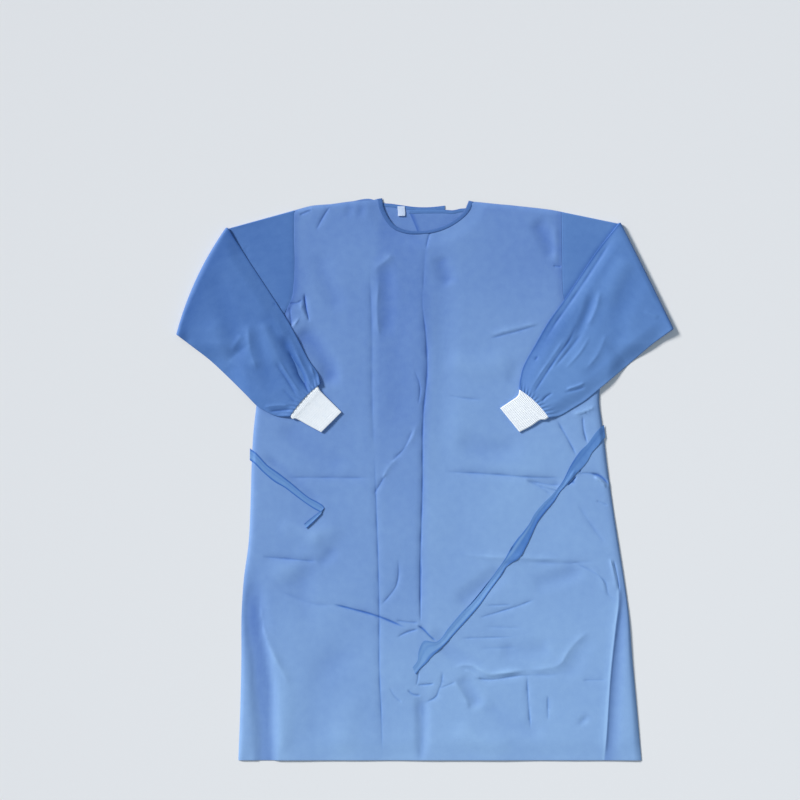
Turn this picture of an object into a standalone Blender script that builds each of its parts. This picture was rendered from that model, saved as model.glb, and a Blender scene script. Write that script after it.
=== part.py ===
"""A disposable isolation gown, laid flat on its back with both sleeves folded in.

The frame is in metres with +Z up. The origin lies under the middle of the gown,
on the surface that it rests on. +Y points to the neck and +X to the side that is
on the right from above. The sizes below are in millimetres.
"""
import math

import bmesh
import bpy
from mathutils import Vector
from mathutils.bvhtree import BVHTree

MM = 0.001

# Cloth
WALL = 1.2
GAP = 0.3
LAYER = WALL + GAP
SEAM_GAP = 0.4
WELD = 1e-7

# Body, from the hem to the top of the armholes
HEM = -575.0
ARMPIT = 290.0
CHEST = 370.0
SHOULDER = 551.5
SIDE_EDGE = (
    # height, left, right
    (HEM, -382.3, 443.4),
    (-480, -377.2, 435.2),
    (-370, -376.0, 425.4),
    (-267, -375.6, 416.8),
    (-204, -371.0, 408.0),
    (-132, -360.8, 396.7),
    (-52, -357.3, 384.4),
    (30, -355.7, 373.1),
    (101, -351.0, 364.9),
    (150, -345.4, 357.7),
    (ARMPIT, -334.0, 352.0),
    (303, -320.0, 343.0),
    (320, -302.0, 318.0),
    (344, -286.0, 296.0),
    (CHEST, -273.5, 284.5),
    (400, -269.0, 281.8),
    (434, -266.5, 280.9),
    (491, -269.0, 280.2),
    (SHOULDER, -267.5, 280.2),
)

# Top edge of each panel, as x and y of its points from left to right
SHOULDER_LEFT = ((-267.5, 551.5), (-233.7, 560.5), (-190.7, 564.5), (-153.8, 569.5),
                 (-104.6, 573.0), (-96.4, 575.2))
SHOULDER_RIGHT = ((98.8, 569.5), (152.0, 564.0), (208.0, 558.5), (264.0, 551.5),
                  (280.2, 548.4))
NECK_FRONT = ((-96.4, 575.2), (-93.3, 558.6), (-85.3, 540.2), (-66.6, 516.6),
              (-38.3, 505.3), (-13.1, 504.1), (30.8, 510.3), (65.2, 526.9),
              (88.8, 548.4), (98.8, 569.5))
NECK_BACK_LEFT = ((-96.4, 575.2), (-86.1, 567.6), (-68.0, 565.2), (-47.8, 562.1),
                  (-13.1, 558.2), (10.3, 558.2), (41.0, 561.3))
NECK_BACK_RIGHT = ((-32.8, 552.0), (10.0, 552.7), (41.6, 552.7), (57.4, 551.9),
                   (73.0, 555.1), (91.8, 558.5), (98.8, 569.5))

# Free edges of the two back panels, which lap over each other by about 50 mm
LEFT_BACK_EDGE = ((HEM, 38.0), (SHOULDER, 41.0))
RIGHT_BACK_EDGE = ((HEM, -8.0), (0, -5.0), (420, -3.0), (500, -12.0),
                   (SHOULDER, -32.8))
LAP_SPARE = 4.0
LAP_RAMP = 34.0

# Grid of the body: heights and how many rows lead up to each
ROWS = ((HEM, 0), (-551, 1), (-430, 4), (-335, 6), (-235, 6), (-178, 3), (-165, 1),
        (-152, 1), (-10, 4), (4, 1), (18, 1), (150, 4), (ARMPIT, 4), (303, 1),
        (320, 1), (344, 1), (CHEST, 1), (400, 1), (434, 1), (491, 2), (532, 2),
        (SHOULDER, 1))
NECK_START = 0.314
NECK_END = 0.669
LAP_PRINT = 0.48
PLEAT = 0.95
FRONT_COLUMNS = ((0, 0), (0.02, 1), (0.05, 1), (0.18, 3), (0.285, 3), (0.302, 1),
                 (NECK_START, 1), (0.326, 1), (0.345, 1), (0.455, 4), (0.47, 1),
                 (LAP_PRINT, 1), (0.49, 1), (0.51, 1), (NECK_END, 5), (0.91, 7),
                 (0.935, 1), (PLEAT, 1), (0.963, 1), (0.98, 1), (1, 1))
CREASE_COLUMNS = (
    # height, packing fold, print of the lap, pleat: columns of the grid follow them
    (HEM, -88, -8, 366),
    (-360, -92, -8, 383),
    (-250, -94, -8, 399),
    (-165, -96, -7, 380),
    (46, -104, -3, 335),
    (ARMPIT, -108, 0, 318),
    (440, -111, 3, 254),
    (SHOULDER, -95.5, -4.6, 252.8),
)
NECK_STEPS = 9
BACK_ROWS = ((HEM, 0), (-204, 4), (30, 3), (ARMPIT, 4), (303, 1), (320, 1), (344, 1),
             (CHEST, 1), (400, 1), (434, 1), (491, 2), (532, 2), (SHOULDER, 1))

# Heights of the front's lower face above the ground
FRONT_LEVEL = 3.7
FRONT_RIGHT_RISE = 0.3
PRINT_WIDTH = 24.0
LAP_LEAD = 30.0
LAP_SOFT = 22.0
NECK_BLEND = 0.02
EDGE_LEVEL = LAYER + 0.1
EDGE_ROUND = 20.0
HEM_LEVEL = 2.9
HEM_ROUND = 30.0
FRONT_HIGHEST = 5.0
FOLD_DEPTH = 1.4

# Folds of the front: from x, y to x, y, half width, and height (minus for a trough)
FRONT_FOLDS = (
    # x0, y0, x1, y1, half width, height
    (-111, 440, -107, 130, 18, -1.0),
    (-107, 130, -104, 46, 18, -1.3),
    (-104, 46, -96, -165, 18, -1.3),
    (-96, -165, -89, -575, 20, -1.4),
    (8, 470, -4, 330, 16, -0.6),
    (-4, 330, 3, 200, 16, -0.6),
    (3, 200, -8, -290, 16, -0.7),
    (-8, -440, -8, -575, 18, -1.0),
    (-280, 4, -110, 3, 16, -1.0),
    (49, 12, 282, 4, 16, -1.0),
    (-326, -160, -190, -170, 16, -1.2),
    (92, -158, 342, -168, 16, -1.2),
    (-297, -229, -148, -266, 18, -1.1),
    (-148, -266, -42, -302, 18, -1.2),
    (-55, -165, -92, -257, 16, -0.9),
    (-2, -300, 24, -334, 16, -1.1),
    (64, -386, 130, -398, 18, 1.0),
    (130, -398, 282, -392, 18, 1.0),
    (282, -392, 340, -312, 18, 0.9),
    (120, -416, 290, -410, 18, -1.0),
    (-355, -280, -334, -420, 30, -1.5),
    (-334, -420, -336, -575, 30, -1.6),
    (-329, -315, -279, -411, 20, 1.0),
    (371, -165, 391, -250, 20, 1.0),
    (391, -250, 374, -360, 20, 1.1),
    (374, -360, 357, -575, 22, 1.1),
    (394, -170, 408, -250, 16, -1.4),
    (402, -250, 393, -360, 16, -1.9),
    (393, -360, 376, -575, 18, -2.0),
    (233, 525, 260, 464, 22, -0.9),
    (-80, 435, -82, 300, 22, -0.9),
    (74, -407, 108, -458, 14, -0.8),
    (-15, -420, 62, -418, 14, -0.6),
)

# Sleeves: the tube is twice SLEEVE_HALF thick and turns back on itself at the fold
SLEEVE_HALF = 2.5
TURN_RADIUS = SLEEVE_HALF + GAP
SLEEVE_FLAT_ROWS = 4
TURN_ANGLES = (0, 45, 90, 135, 180)
EDGE_ANGLES = (45, 90, 135)
SAG_START = 8.0
SAG_REACH = 45.0
SLEEVE_RIM = 10.0
SLEEVE_LEFT = (
    # overarm x, overarm y, underarm x, underarm y, from the fold to the wrist
    (-406.9, 516.6, -509.4, 296.2),
    (-366.9, 454.1, -481.8, 275.7),
    (-332.1, 402.8, -441.8, 245.0),
    (-299.9, 354.7, -401.8, 208.1),
    (-279.6, 322.9, -369.0, 176.3),
    (-259.3, 286.0, -343.8, 150.7),
    (-239.0, 247.0, -328.0, 141.0),
    (-219.4, 218.5, -303.4, 130.2),
    (-213.0, 196.5, -276.5, 128.5),
)
SLEEVE_RIGHT = (
    (400.6, 526.9, 510.0, 307.9),
    (354.0, 468.4, 471.5, 280.9),
    (313.7, 409.0, 434.6, 250.1),
    (285.0, 366.7, 394.6, 216.3),
    (252.8, 322.9, 355.9, 184.5),
    (224.3, 273.7, 328.8, 162.4),
    (202.1, 232.7, 303.4, 146.6),
    (193.9, 200.5, 276.8, 131.2),
    (192.7, 184.5, 253.6, 126.1),
)
FOLD_BULGE_LEFT = 11.0
FOLD_BULGE_RIGHT = 0.5
BULGE_ROWS = 5
SLEEVE_LEFT_FOLDS = (
    # x0, y0, x1, y1, half width, height
    (-300, 302, -275, 255, 20, -1.2),
    (-275, 255, -243, 190, 18, -1.2),
    (-256, 285, -230, 214, 14, 0.9),
    (-355, 310, -340, 229, 22, 0.8),
    (-376, 290, -392, 268, 18, 0.6),
    (-320, 146, -280, 148, 12, -0.8),
)
SLEEVE_RIGHT_FOLDS = (
    (328, 331, 256, 224, 18, -1.2),
    (256, 224, 224, 178, 14, -1.0),
    (314, 340, 244, 232, 16, 0.8),
    (287, 282, 236, 208, 14, -0.7),
    (330, 182, 292, 196, 14, 0.7),
)

# Knit cuffs
CUFF_HALF = 2.4
CUFF_WALL = 1.5
CUFF_STEPS = 8
CUFF_GATHER = 3.0
CUFF_LEFT = (
    # overarm x, overarm y, underarm x, underarm y, after the sleeve's end
    (-211.4, 178.8, -265.3, 125.7),
    (-191.1, 158.7, -238.8, 111.3),
    (-170.6, 138.4, -212.2, 97.0),
)
CUFF_RIGHT = (
    (191.9, 171.8, 240.0, 124.0),
    (172.8, 159.1, 218.3, 109.7),
    (153.8, 146.4, 193.5, 97.4),
)

# Neck binding and label
BINDING_SIDE = 9.0
BINDING_MIDDLE = 5.0
BINDING_CROWN = 0.3
BACK_BINDING = 8.0
NECK_CENTRE = (2.0, 590.0)
LABEL = (-55.5, -40.6, 540.0, 558.5)
LABEL_WALL = 1.0

# Waist ties: upper edge x, y, lower edge x, y, and layer above the front
TIE_LEFT = (
    # upper x, upper y, lower x, lower y, layer
    (-355.2, 64.0, -355.4, 40.0, 0),
    (-340.3, 49.0, -343.0, 27.0, 0),
    (-324.3, 31.5, -329.0, 13.0, 0),
    (-300.7, 14.5, -308.0, -4.5, 0),
    (-274.7, -6.0, -287.8, -16.0, 0),
    (-255.0, -23.0, -261.6, -35.9, 0),
    (-235.8, -37.5, -241.9, -50.2, 0),
    (-216.0, -48.0, -224.9, -61.1, 0),
    (-208.1, -54.3, -214.0, -67.0, 0),
    (-206.2, -58.0, -211.5, -69.0, 0.5),
    (-209.5, -61.0, -214.5, -72.0, 1),
    (-227.0, -74.0, -228.0, -86.0, 1),
    (-247.0, -90.5, -243.0, -100.0, 1),
)
TIE_RIGHT = (
    (364.0, 112.0, 366.5, 86.0, 0),
    (349.5, 95.9, 353.8, 68.7, 0),
    (332.7, 72.8, 341.1, 54.3, 0),
    (319.8, 60.5, 332.7, 37.9, 0),
    (298.3, 29.1, 309.6, 12.3, 0),
    (281.5, -4.3, 291.0, -9.2, 0),
    (270.0, -20.0, 276.3, -25.2, 0),
    (257.5, -33.8, 265.9, -42.0, 0),
    (238.6, -52.3, 246.0, -66.0, 0),
    (222.0, -74.0, 230.0, -88.0, 0),
    (206.0, -96.0, 219.0, -112.0, 0),
    (191.0, -119.0, 208.0, -135.0, 0),
    (175.9, -140.4, 192.0, -161.0, 0),
    (163.2, -163.0, 170.0, -175.0, 0),
    (143.1, -191.7, 154.8, -197.0, 0),
    (124.2, -216.3, 134.0, -225.3, 0),
    (95.9, -251.1, 112.5, -255.8, 0),
    (72.6, -274.7, 84.1, -288.8, 0),
    (49.2, -302.4, 60.7, -314.7, 0),
    (23.0, -332.3, 34.9, -343.0, 0),
    (-3.0, -331.0, 14.0, -362.0, 0),
    (-13.0, -352.0, 4.0, -374.0, 0),
    (-15.0, -370.0, -8.0, -385.0, 0),
    (-25.2, -384.4, -19.3, -398.1, 0),
)
TIE_STEP = 12.0
TIE_PROUD = 3.2
TIE_RISE = 4.2
TIE_CLEAR = 0.45
ABOVE_ALL = 100.0

# Colours as linear red, green, blue
BODY_BLUE = (0.16, 0.29, 0.60)
SLEEVE_BLUE = (0.09, 0.21, 0.50)
BINDING_BLUE = (0.065, 0.16, 0.42)
KNIT_WHITE = (0.82, 0.87, 0.92)
LABEL_WHITE = (0.78, 0.82, 0.90)


def clear_scene():
    for thing in list(bpy.data.objects):
        bpy.data.objects.remove(thing)


def material(name, colour, roughness=0.75):
    finish = bpy.data.materials.new(name)
    finish.use_nodes = True
    shader = finish.node_tree.nodes["Principled BSDF"]
    shader.inputs["Base Color"].default_value = (*colour, 1.0)
    shader.inputs["Roughness"].default_value = roughness
    shader.inputs["Metallic"].default_value = 0.0
    return finish


def smooth(value):
    """0 up to value 0, 1 from value 1, and a soft S between."""
    value = min(max(value, 0.0), 1.0)
    return value * value * (3 - 2 * value)


def follow(table, height, column):
    """One column of a table of sections, read at a height, straight between rows."""
    for low, high in zip(table, table[1:]):
        if height <= high[0]:
            share = (height - low[0]) / (high[0] - low[0])
            return low[column] + share * (high[column] - low[column])
    return table[-1][column]


def along(points, share):
    """The point at a share of the length of a chain of points."""
    lengths = [math.dist(a, b) for a, b in zip(points, points[1:])]
    left = share * sum(lengths)
    for a, b, length in zip(points, points[1:], lengths):
        if left <= length:
            return Vector(a).lerp(Vector(b), left / length)
        left -= length
    return Vector(points[-1])


def spread(stops):
    """Values from a table of (value, how many steps lead to it)."""
    values = [stops[0][0]]
    for (low, _), (high, steps) in zip(stops, stops[1:]):
        values += [low + (high - low) * (i + 1) / steps for i in range(steps)]
    return values


def fold_height(folds, x, y):
    """Sum of soft ridges and troughs, each fading out over its half width."""
    total = 0.0
    for x0, y0, x1, y1, half, height in folds:
        run = Vector((x1 - x0, y1 - y0))
        place = Vector((x - x0, y - y0)).dot(run) / run.length_squared
        place = min(max(place, 0.0), 1.0)
        away = math.hypot(x - x0 - place * run.x, y - y0 - place * run.y)
        total += height * smooth(1 - away / half)
    return total


def panel_point(across, height, left, right, top_edge, column=None):
    """A point of a body panel. Above the chest its rows bend to the top edge."""
    def straight(level):
        low, high = left(level), right(level)
        if column:
            return Vector((column(across, level), level))
        return Vector((low + (high - low) * across, level))
    bend = smooth((height - CHEST) / (SHOULDER - CHEST))
    return straight(height) + bend * (top_edge(across) - straight(SHOULDER))


def body_left(height):
    return follow(SIDE_EDGE, height, 1)


def body_right(height):
    return follow(SIDE_EDGE, height, 2)


def front_top(across):
    if across <= NECK_START:
        return along(SHOULDER_LEFT, across / NECK_START)
    if across <= NECK_END:
        return along(NECK_FRONT, (across - NECK_START) / (NECK_END - NECK_START))
    return along(SHOULDER_RIGHT, (across - NECK_END) / (1 - NECK_END))


def front_column(across, height):
    """Where a column of the front's grid crosses a height: it follows the creases."""
    shares = (0, NECK_START, LAP_PRINT, PLEAT, 1)
    places = (body_left(height), *(follow(CREASE_COLUMNS, height, i) for i in (1, 2, 3)),
              body_right(height))
    return follow(tuple(zip(shares, places)), across, 1)


def front_place(across, height):
    return panel_point(across, height, body_left, body_right, front_top, front_column)


def lap_height(x):
    """Rise of the right back panel where it lies on the left one."""
    edge = LEFT_BACK_EDGE[-1][1] + LAP_SPARE
    return LAYER * (1 - smooth((x - edge) / LAP_RAMP))


def front_level(across, height):
    """Height of the front's lower face: soft folds, and edges that come down."""
    place = front_place(across, height)
    middle = follow(RIGHT_BACK_EDGE, height, 1)
    level = FRONT_LEVEL + FRONT_RIGHT_RISE * smooth((place.x - middle) / PRINT_WIDTH)
    level += FOLD_DEPTH * fold_height(FRONT_FOLDS, place.x, place.y)
    level = min(level, FRONT_HIGHEST)
    to_side = min(place.x - body_left(height), body_right(height) - place.x)
    open_side = smooth((height - ARMPIT) / (CHEST - ARMPIT))
    side = max(smooth(to_side / EDGE_ROUND), open_side)
    beside_neck = max(NECK_START - across, across - NECK_END)
    at_neck = smooth(-beside_neck / NECK_BLEND)
    shoulder = max(smooth((SHOULDER - height) / EDGE_ROUND), at_neck)
    level = EDGE_LEVEL + (level - EDGE_LEVEL) * min(side, shoulder)
    at_hem = 1 - smooth((height - HEM) / HEM_ROUND)
    level += (min(level, HEM_LEVEL) - level) * at_hem
    lap = lap_height(place.x) * smooth((place.x - middle + LAP_LEAD) / LAP_SOFT)
    return max(level, EDGE_LEVEL + lap)


def new_object(name, bm, finish):
    mesh = bpy.data.meshes.new(name)
    bm.to_mesh(mesh)
    bm.free()
    mesh.materials.append(finish)
    mesh.shade_smooth()
    mesh.set_sharp_from_angle(angle=math.radians(50))
    thing = bpy.data.objects.new(name, mesh)
    bpy.context.collection.objects.link(thing)
    return thing


def thicken(thing, thickness, offset):
    wall = thing.modifiers.new("wall", "SOLIDIFY")
    wall.thickness = thickness * MM
    wall.offset = offset
    return thing


def sheet(name, columns, rows, place, finish, thickness=WALL, offset=1.0):
    """A grid whose points move to place(column, row), thickened to one side."""
    bm = bmesh.new()
    last_column, last_row = len(columns) - 1, len(rows) - 1
    bmesh.ops.create_grid(bm, x_segments=last_column, y_segments=last_row, size=0.5)
    for point in bm.verts:
        column = columns[round((point.co.x + 0.5) * last_column)]
        row = rows[round((point.co.y + 0.5) * last_row)]
        point.co = Vector(place(column, row)) * MM
    return thicken(new_object(name, bm, finish), thickness, offset)


def front(finish):
    rows = spread(ROWS)

    def place(across, height):
        return (*front_place(across, height), front_level(across, height))
    return sheet("front", spread(FRONT_COLUMNS), rows, place, finish)


def back_panel(name, columns, left, right, top_edge, level, finish):
    def place(across, height):
        point = panel_point(across, height, left, right, top_edge)
        return (*point, level(point.x))
    return sheet(name, columns, spread(BACK_ROWS), place, finish)


def lowered(points, drop):
    """A neckline moved down by the width of its binding, but for its shoulder end."""
    return tuple((x, y - drop) for x, y in points)


def back_left(finish):
    neck = 0.555
    edge = lowered(NECK_BACK_LEFT, BACK_BINDING + GAP)

    def top_edge(across):
        if across <= neck:
            return along(SHOULDER_LEFT[:-1] + edge[:1], across / neck)
        return along(edge, (across - neck) / (1 - neck))
    columns = spread(((0, 0), (neck, 6), (1, NECK_STEPS)))
    return back_panel("back_left", columns, body_left,
                      lambda height: follow(LEFT_BACK_EDGE, height, 1), top_edge,
                      lambda x: 0.0, finish)


def back_right(finish):
    neck = 0.421
    edge = lowered(NECK_BACK_RIGHT, BACK_BINDING + GAP)

    def top_edge(across):
        if across <= neck:
            return along(edge, across / neck)
        return along(edge[-1:] + SHOULDER_RIGHT[1:], (across - neck) / (1 - neck))
    columns = spread(((0, 0), (neck, NECK_STEPS), (1, 6)))
    return back_panel("back_right", columns,
                      lambda height: follow(RIGHT_BACK_EDGE, height, 1), body_right,
                      top_edge, lap_height, finish)


def tube(name, rings, wall, finish):
    """A flattened tube with a wall. rings(inset) gives its rings of points, in order.

    One grid is rolled up both ways: its rows run along the outer skin, round the
    open end and back along the inner skin to where they began.
    """
    loops = rings(0.0) + rings(wall)[::-1]
    around = len(loops[0])
    bm = bmesh.new()
    bmesh.ops.create_grid(bm, x_segments=around, y_segments=len(loops), size=0.5)
    for point in bm.verts:
        step = round((point.co.x + 0.5) * around) % around
        row = round((point.co.y + 0.5) * len(loops)) % len(loops)
        point.co = loops[row][step] * MM
    bmesh.ops.remove_doubles(bm, verts=bm.verts, dist=WELD)
    bmesh.ops.recalc_face_normals(bm, faces=bm.faces)
    return new_object(name, bm, finish)


def ring_points(lateral, half, inset, width):
    """Places round a flattened tube: (distance across, height from its middle)."""
    radius = half - inset
    over = [(share * width, radius) for share in lateral]
    over[0] = (half, radius)
    over[-1] = (width - half, radius)
    turn = [(math.sin(math.radians(angle)), math.cos(math.radians(angle)))
            for angle in EDGE_ANGLES]
    far = [(width - half + radius * s, radius * c) for s, c in turn]
    under = [(across, -height) for across, height in reversed(over)]
    near = [(half - radius * s, -radius * c) for s, c in turn]
    return over + far + under + near


def armhole(across):
    """The armhole's seam on the body, from the shoulder to the armpit."""
    heights = [height for height in spread(ROWS) if height >= ARMPIT]
    return [front_place(across, height) for height in reversed(heights)]


def sleeve(name, side, table, folds, finish):
    """One sleeve: from the armhole outwards, round its fold and back to the wrist."""
    seam = [Vector((point.x + side * SEAM_GAP, point.y))
            for point in armhole(0.0 if side < 0 else 1.0)]
    steps = [math.dist(a, b) for a, b in zip(seam, seam[1:])]
    lateral = [sum(steps[:i]) / sum(steps) for i in range(len(seam))]
    over, under = Vector(table[0][:2]), Vector(table[0][2:])
    fold_width = (under - over).length
    run = (under - over).normalized()
    outward = Vector((side * abs(run.y), abs(run.x)))
    reach = TURN_RADIUS + SLEEVE_HALF

    def bulge(share):
        """The fold's curve, drawn in by the reach of the turn."""
        height = FOLD_BULGE_LEFT if side < 0 else FOLD_BULGE_RIGHT
        return outward * (height * 4 * share * (1 - share) - reach)

    def fold_line(share):
        return over.lerp(under, share) + bulge(share)

    def first_part(part, inset):
        """Flat on the ground, from the armhole (0) towards the fold (1)."""
        width = sum(steps) * (1 - part) + fold_width * part
        ring = []
        for across, height in ring_points(lateral, SLEEVE_HALF, inset, width):
            share = across / width
            place = along(seam, share).lerp(fold_line(share), part)
            ring.append(Vector((*place, SLEEVE_HALF + height)))
        return ring

    def turn(angle, inset):
        """Round the fold. The front of the sleeve is on the inside of the turn."""
        ring = []
        for across, height in ring_points(lateral, SLEEVE_HALF, inset, fold_width):
            radius = TURN_RADIUS - height
            place = fold_line(across / fold_width) + outward * radius * math.sin(angle)
            lift = SLEEVE_HALF + TURN_RADIUS - radius * math.cos(angle)
            ring.append(Vector((*place, lift)))
        return ring

    def sag(place):
        """How far the folded part comes down beside the body and the under layer."""
        edge = body_left(place.y) if side < 0 else body_right(place.y)
        beside = side * (place.x - edge)
        below = seam[-1].y - place.y
        return 2 * TURN_RADIUS * smooth((min(beside, below) - SAG_START) / SAG_REACH)

    def folded_part(row, inset):
        """Over the body. Its upper wall, the back of the sleeve, has the folds."""
        near, far = Vector(table[row][:2]), Vector(table[row][2:])
        width = (far - near).length
        fade = max(0.0, 1 - row / BULGE_ROWS) ** 2
        ring = []
        for across, height in ring_points(lateral, SLEEVE_HALF, inset, width):
            share = across / width
            place = near.lerp(far, share) + bulge(share) * fade
            lift = SLEEVE_HALF + 2 * TURN_RADIUS - height - sag(place)
            if height < 0:
                rim = smooth(min(share, 1 - share) * width / SLEEVE_RIM)
                lift += fold_height(folds, place.x, place.y) * rim
            ring.append(Vector((*place, lift)))
        return ring

    def rings(inset):
        loops = [first_part(row / SLEEVE_FLAT_ROWS, inset)
                 for row in range(SLEEVE_FLAT_ROWS)]
        loops += [turn(math.radians(angle), inset) for angle in TURN_ANGLES]
        return loops + [folded_part(row, inset) for row in range(1, len(table))]
    return tube(name, rings, WALL, finish)


def cuff(name, sleeve_table, table, finish):
    """A knit cuff: a flattened tube that starts at the sleeve's end and narrows."""
    lateral = [i / CUFF_STEPS for i in range(CUFF_STEPS + 1)]
    middle = SLEEVE_HALF + 2 * TURN_RADIUS
    over, under = Vector(sleeve_table[-1][:2]), Vector(sleeve_table[-1][2:])
    across_seam = (under - over).normalized()
    toward = Vector(table[-1][:2]) - over
    lead = (toward - across_seam * toward.dot(across_seam)).normalized() * SEAM_GAP
    ends = [(over + across_seam * CUFF_GATHER + lead,
             under - across_seam * CUFF_GATHER + lead)]
    ends += [(Vector(row[:2]), Vector(row[2:])) for row in table]

    def rings(inset):
        loops = []
        for near, far in ends:
            width = (far - near).length
            loops.append([Vector((*near.lerp(far, across / width), middle + height))
                          for across, height in
                          ring_points(lateral, CUFF_HALF, inset, width)])
        return loops
    return tube(name, rings, CUFF_WALL, finish)


def neck_front_binding(finish):
    """A band along the inside of the front neckline, from the panel's own points."""
    centre = Vector(NECK_CENTRE)
    columns = [across for across in spread(FRONT_COLUMNS)
               if NECK_START - 0.001 < across < NECK_END + 0.001]

    def place(across, band):
        share = (across - NECK_START) / (NECK_END - NECK_START)
        edge = front_place(across, SHOULDER)
        inward = (centre - edge).normalized()
        deep = BINDING_MIDDLE + (BINDING_SIDE - BINDING_MIDDLE) * abs(2 * share - 1)
        point = edge + inward * (SEAM_GAP + band * deep)
        return (*point, front_level(across, SHOULDER) + BINDING_CROWN * band)
    return sheet("binding_front", columns, (0.0, 0.5, 1.0), place, finish)


def neck_back_binding(name, points, level, finish):
    """A band along a back neckline, on the panel's edge."""
    def place(across, band):
        edge = along(points, across)
        return (edge.x, edge.y - BACK_BINDING * (1 - band), level(edge.x))
    return sheet(name, spread(((0, 0), (1, NECK_STEPS))), (0.0, 0.5, 1.0), place, finish)


def label(finish):
    """A small blank label that hangs from the back neckline."""
    left, right, low, high = LABEL

    def place(across, up):
        return (left + (right - left) * across, low + (high - low) * up, LAYER)
    return sheet("neck_label", (0, 0.5, 1), (0, 0.5, 1), place, finish,
                 thickness=LABEL_WALL)


def cloth_top(tree, x, y, default):
    """Height of the cloth's upper face under a point."""
    hit = tree.ray_cast(Vector((x, y, ABOVE_ALL)) * MM, Vector((0, 0, -1)))[0]
    return hit.z / MM if hit else default


def tie(name, table, side, tree, finish):
    """A flat tie that lies on the front, from its root at the side edge."""
    rows = []
    for low, high in zip(table, table[1:]):
        length = math.dist(low[:2], high[:2])
        steps = max(1, round(length / TIE_STEP))
        rows += [[a + (b - a) * i / steps for a, b in zip(low, high)]
                 for i in range(steps)]
    rows.append(list(table[-1]))
    outside = (WALL / 2 + GAP, TIE_RISE)

    def surface(x, y):
        reach = TIE_STEP / 2
        spots = [(x + i * reach, y + j * reach) for i in (-1, 0, 1) for j in (-1, 0, 1)]
        return max(cloth_top(tree, *spot, 0.0) for spot in spots)

    def place(across, row):
        x0, y0, x1, y1, layer = rows[max(0, row - len(outside))]
        x, y = x0 + (x1 - x0) * across, y0 + (y1 - y0) * across
        if row < len(outside):
            return (x + side * TIE_PROUD, y, outside[row])
        return (x, y, surface(x, y) + TIE_CLEAR + WALL / 2 + layer * LAYER)
    return sheet(name, (0.0, 0.5, 1.0), range(len(rows) + len(outside)), place, finish,
                 offset=0.0)


def build():
    clear_scene()
    body = material("body nonwoven", BODY_BLUE)
    arm = material("sleeve nonwoven", SLEEVE_BLUE)
    band = material("binding", BINDING_BLUE)
    knit = material("knit cuff", KNIT_WHITE, roughness=0.9)
    white = material("blank label", LABEL_WHITE, roughness=0.6)

    back_left(body)
    back_right(body)
    front_panel = front(body)
    sleeve("sleeve_left", -1, SLEEVE_LEFT, SLEEVE_LEFT_FOLDS, arm)
    sleeve("sleeve_right", 1, SLEEVE_RIGHT, SLEEVE_RIGHT_FOLDS, arm)
    cuff("cuff_left", SLEEVE_LEFT, CUFF_LEFT, knit)
    cuff("cuff_right", SLEEVE_RIGHT, CUFF_RIGHT, knit)
    neck_front_binding(band)
    neck_back_binding("binding_back_left", NECK_BACK_LEFT, lambda x: 0.0, band)
    neck_back_binding("binding_back_right", NECK_BACK_RIGHT, lap_height, band)
    label(white)

    bpy.context.view_layer.update()
    tree = BVHTree.FromObject(front_panel, bpy.context.evaluated_depsgraph_get())
    tie("tie_left", TIE_LEFT, -1, tree, body)
    tie("tie_right", TIE_RIGHT, 1, tree, body)


build()
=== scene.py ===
import math

import bmesh
import bpy
import numpy as np
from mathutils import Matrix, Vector, noise
from mathutils.bvhtree import BVHTree


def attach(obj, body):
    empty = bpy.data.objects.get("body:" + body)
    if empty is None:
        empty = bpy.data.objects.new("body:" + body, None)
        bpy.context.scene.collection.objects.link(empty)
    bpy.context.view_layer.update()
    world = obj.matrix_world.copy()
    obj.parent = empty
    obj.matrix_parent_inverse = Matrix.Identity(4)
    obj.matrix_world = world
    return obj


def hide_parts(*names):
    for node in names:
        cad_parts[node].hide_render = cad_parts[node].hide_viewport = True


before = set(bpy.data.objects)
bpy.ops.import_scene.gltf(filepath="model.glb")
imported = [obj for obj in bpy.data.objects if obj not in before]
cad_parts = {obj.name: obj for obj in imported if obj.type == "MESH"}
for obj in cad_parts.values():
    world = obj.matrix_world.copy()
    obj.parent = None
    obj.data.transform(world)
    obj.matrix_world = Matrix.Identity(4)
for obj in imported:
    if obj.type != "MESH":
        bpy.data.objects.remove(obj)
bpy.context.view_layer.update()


# Back panels
# Two lengths of blue nonwoven that lap at the centre back, the lowest cloth of the
# gown as it lies. Their sides are sewn to the front, and their free edges are raw.
MM = 0.001
CLOTH = 0.5
BACK_LOW = 0.1
BACK_LAP = 0.9

HEM = -575.0
ARMPIT = 290.0
CHEST = 370.0
SHOULDER = 551.5
SIDE_EDGE = (
    # height, left, right
    (HEM, -382.3, 443.4),
    (-480, -378.6, 435.2),
    (-370, -376.2, 425.4),
    (-267, -375.4, 416.8),
    (-204, -371.0, 408.0),
    (-132, -361.4, 396.7),
    (-52, -357.3, 384.4),
    (30, -355.0, 373.1),
    (101, -351.0, 364.9),
    (150, -345.4, 357.7),
    (ARMPIT, -334.0, 352.0),
    (303, -320.0, 343.0),
    (320, -302.0, 318.0),
    (344, -286.0, 296.0),
    (CHEST, -273.5, 284.5),
    (400, -269.0, 281.8),
    (434, -267.5, 280.9),
    (491, -268.0, 280.4),
    (SHOULDER, -267.5, 280.2),
)
SHOULDER_LEFT = ((-267.5, 551.5), (-233.7, 560.5), (-190.7, 564.5), (-153.8, 569.5),
                 (-104.6, 573.0), (-96.4, 575.2))
SHOULDER_RIGHT = ((98.8, 569.5), (152.0, 564.0), (208.0, 558.5), (264.0, 551.5),
                  (280.2, 548.4))
NECK_BACK_LEFT = ((-96.4, 575.2), (-86.1, 567.6), (-68.0, 565.2), (-47.8, 562.1),
                  (-13.1, 558.2), (10.3, 558.2), (41.0, 561.3))
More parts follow.
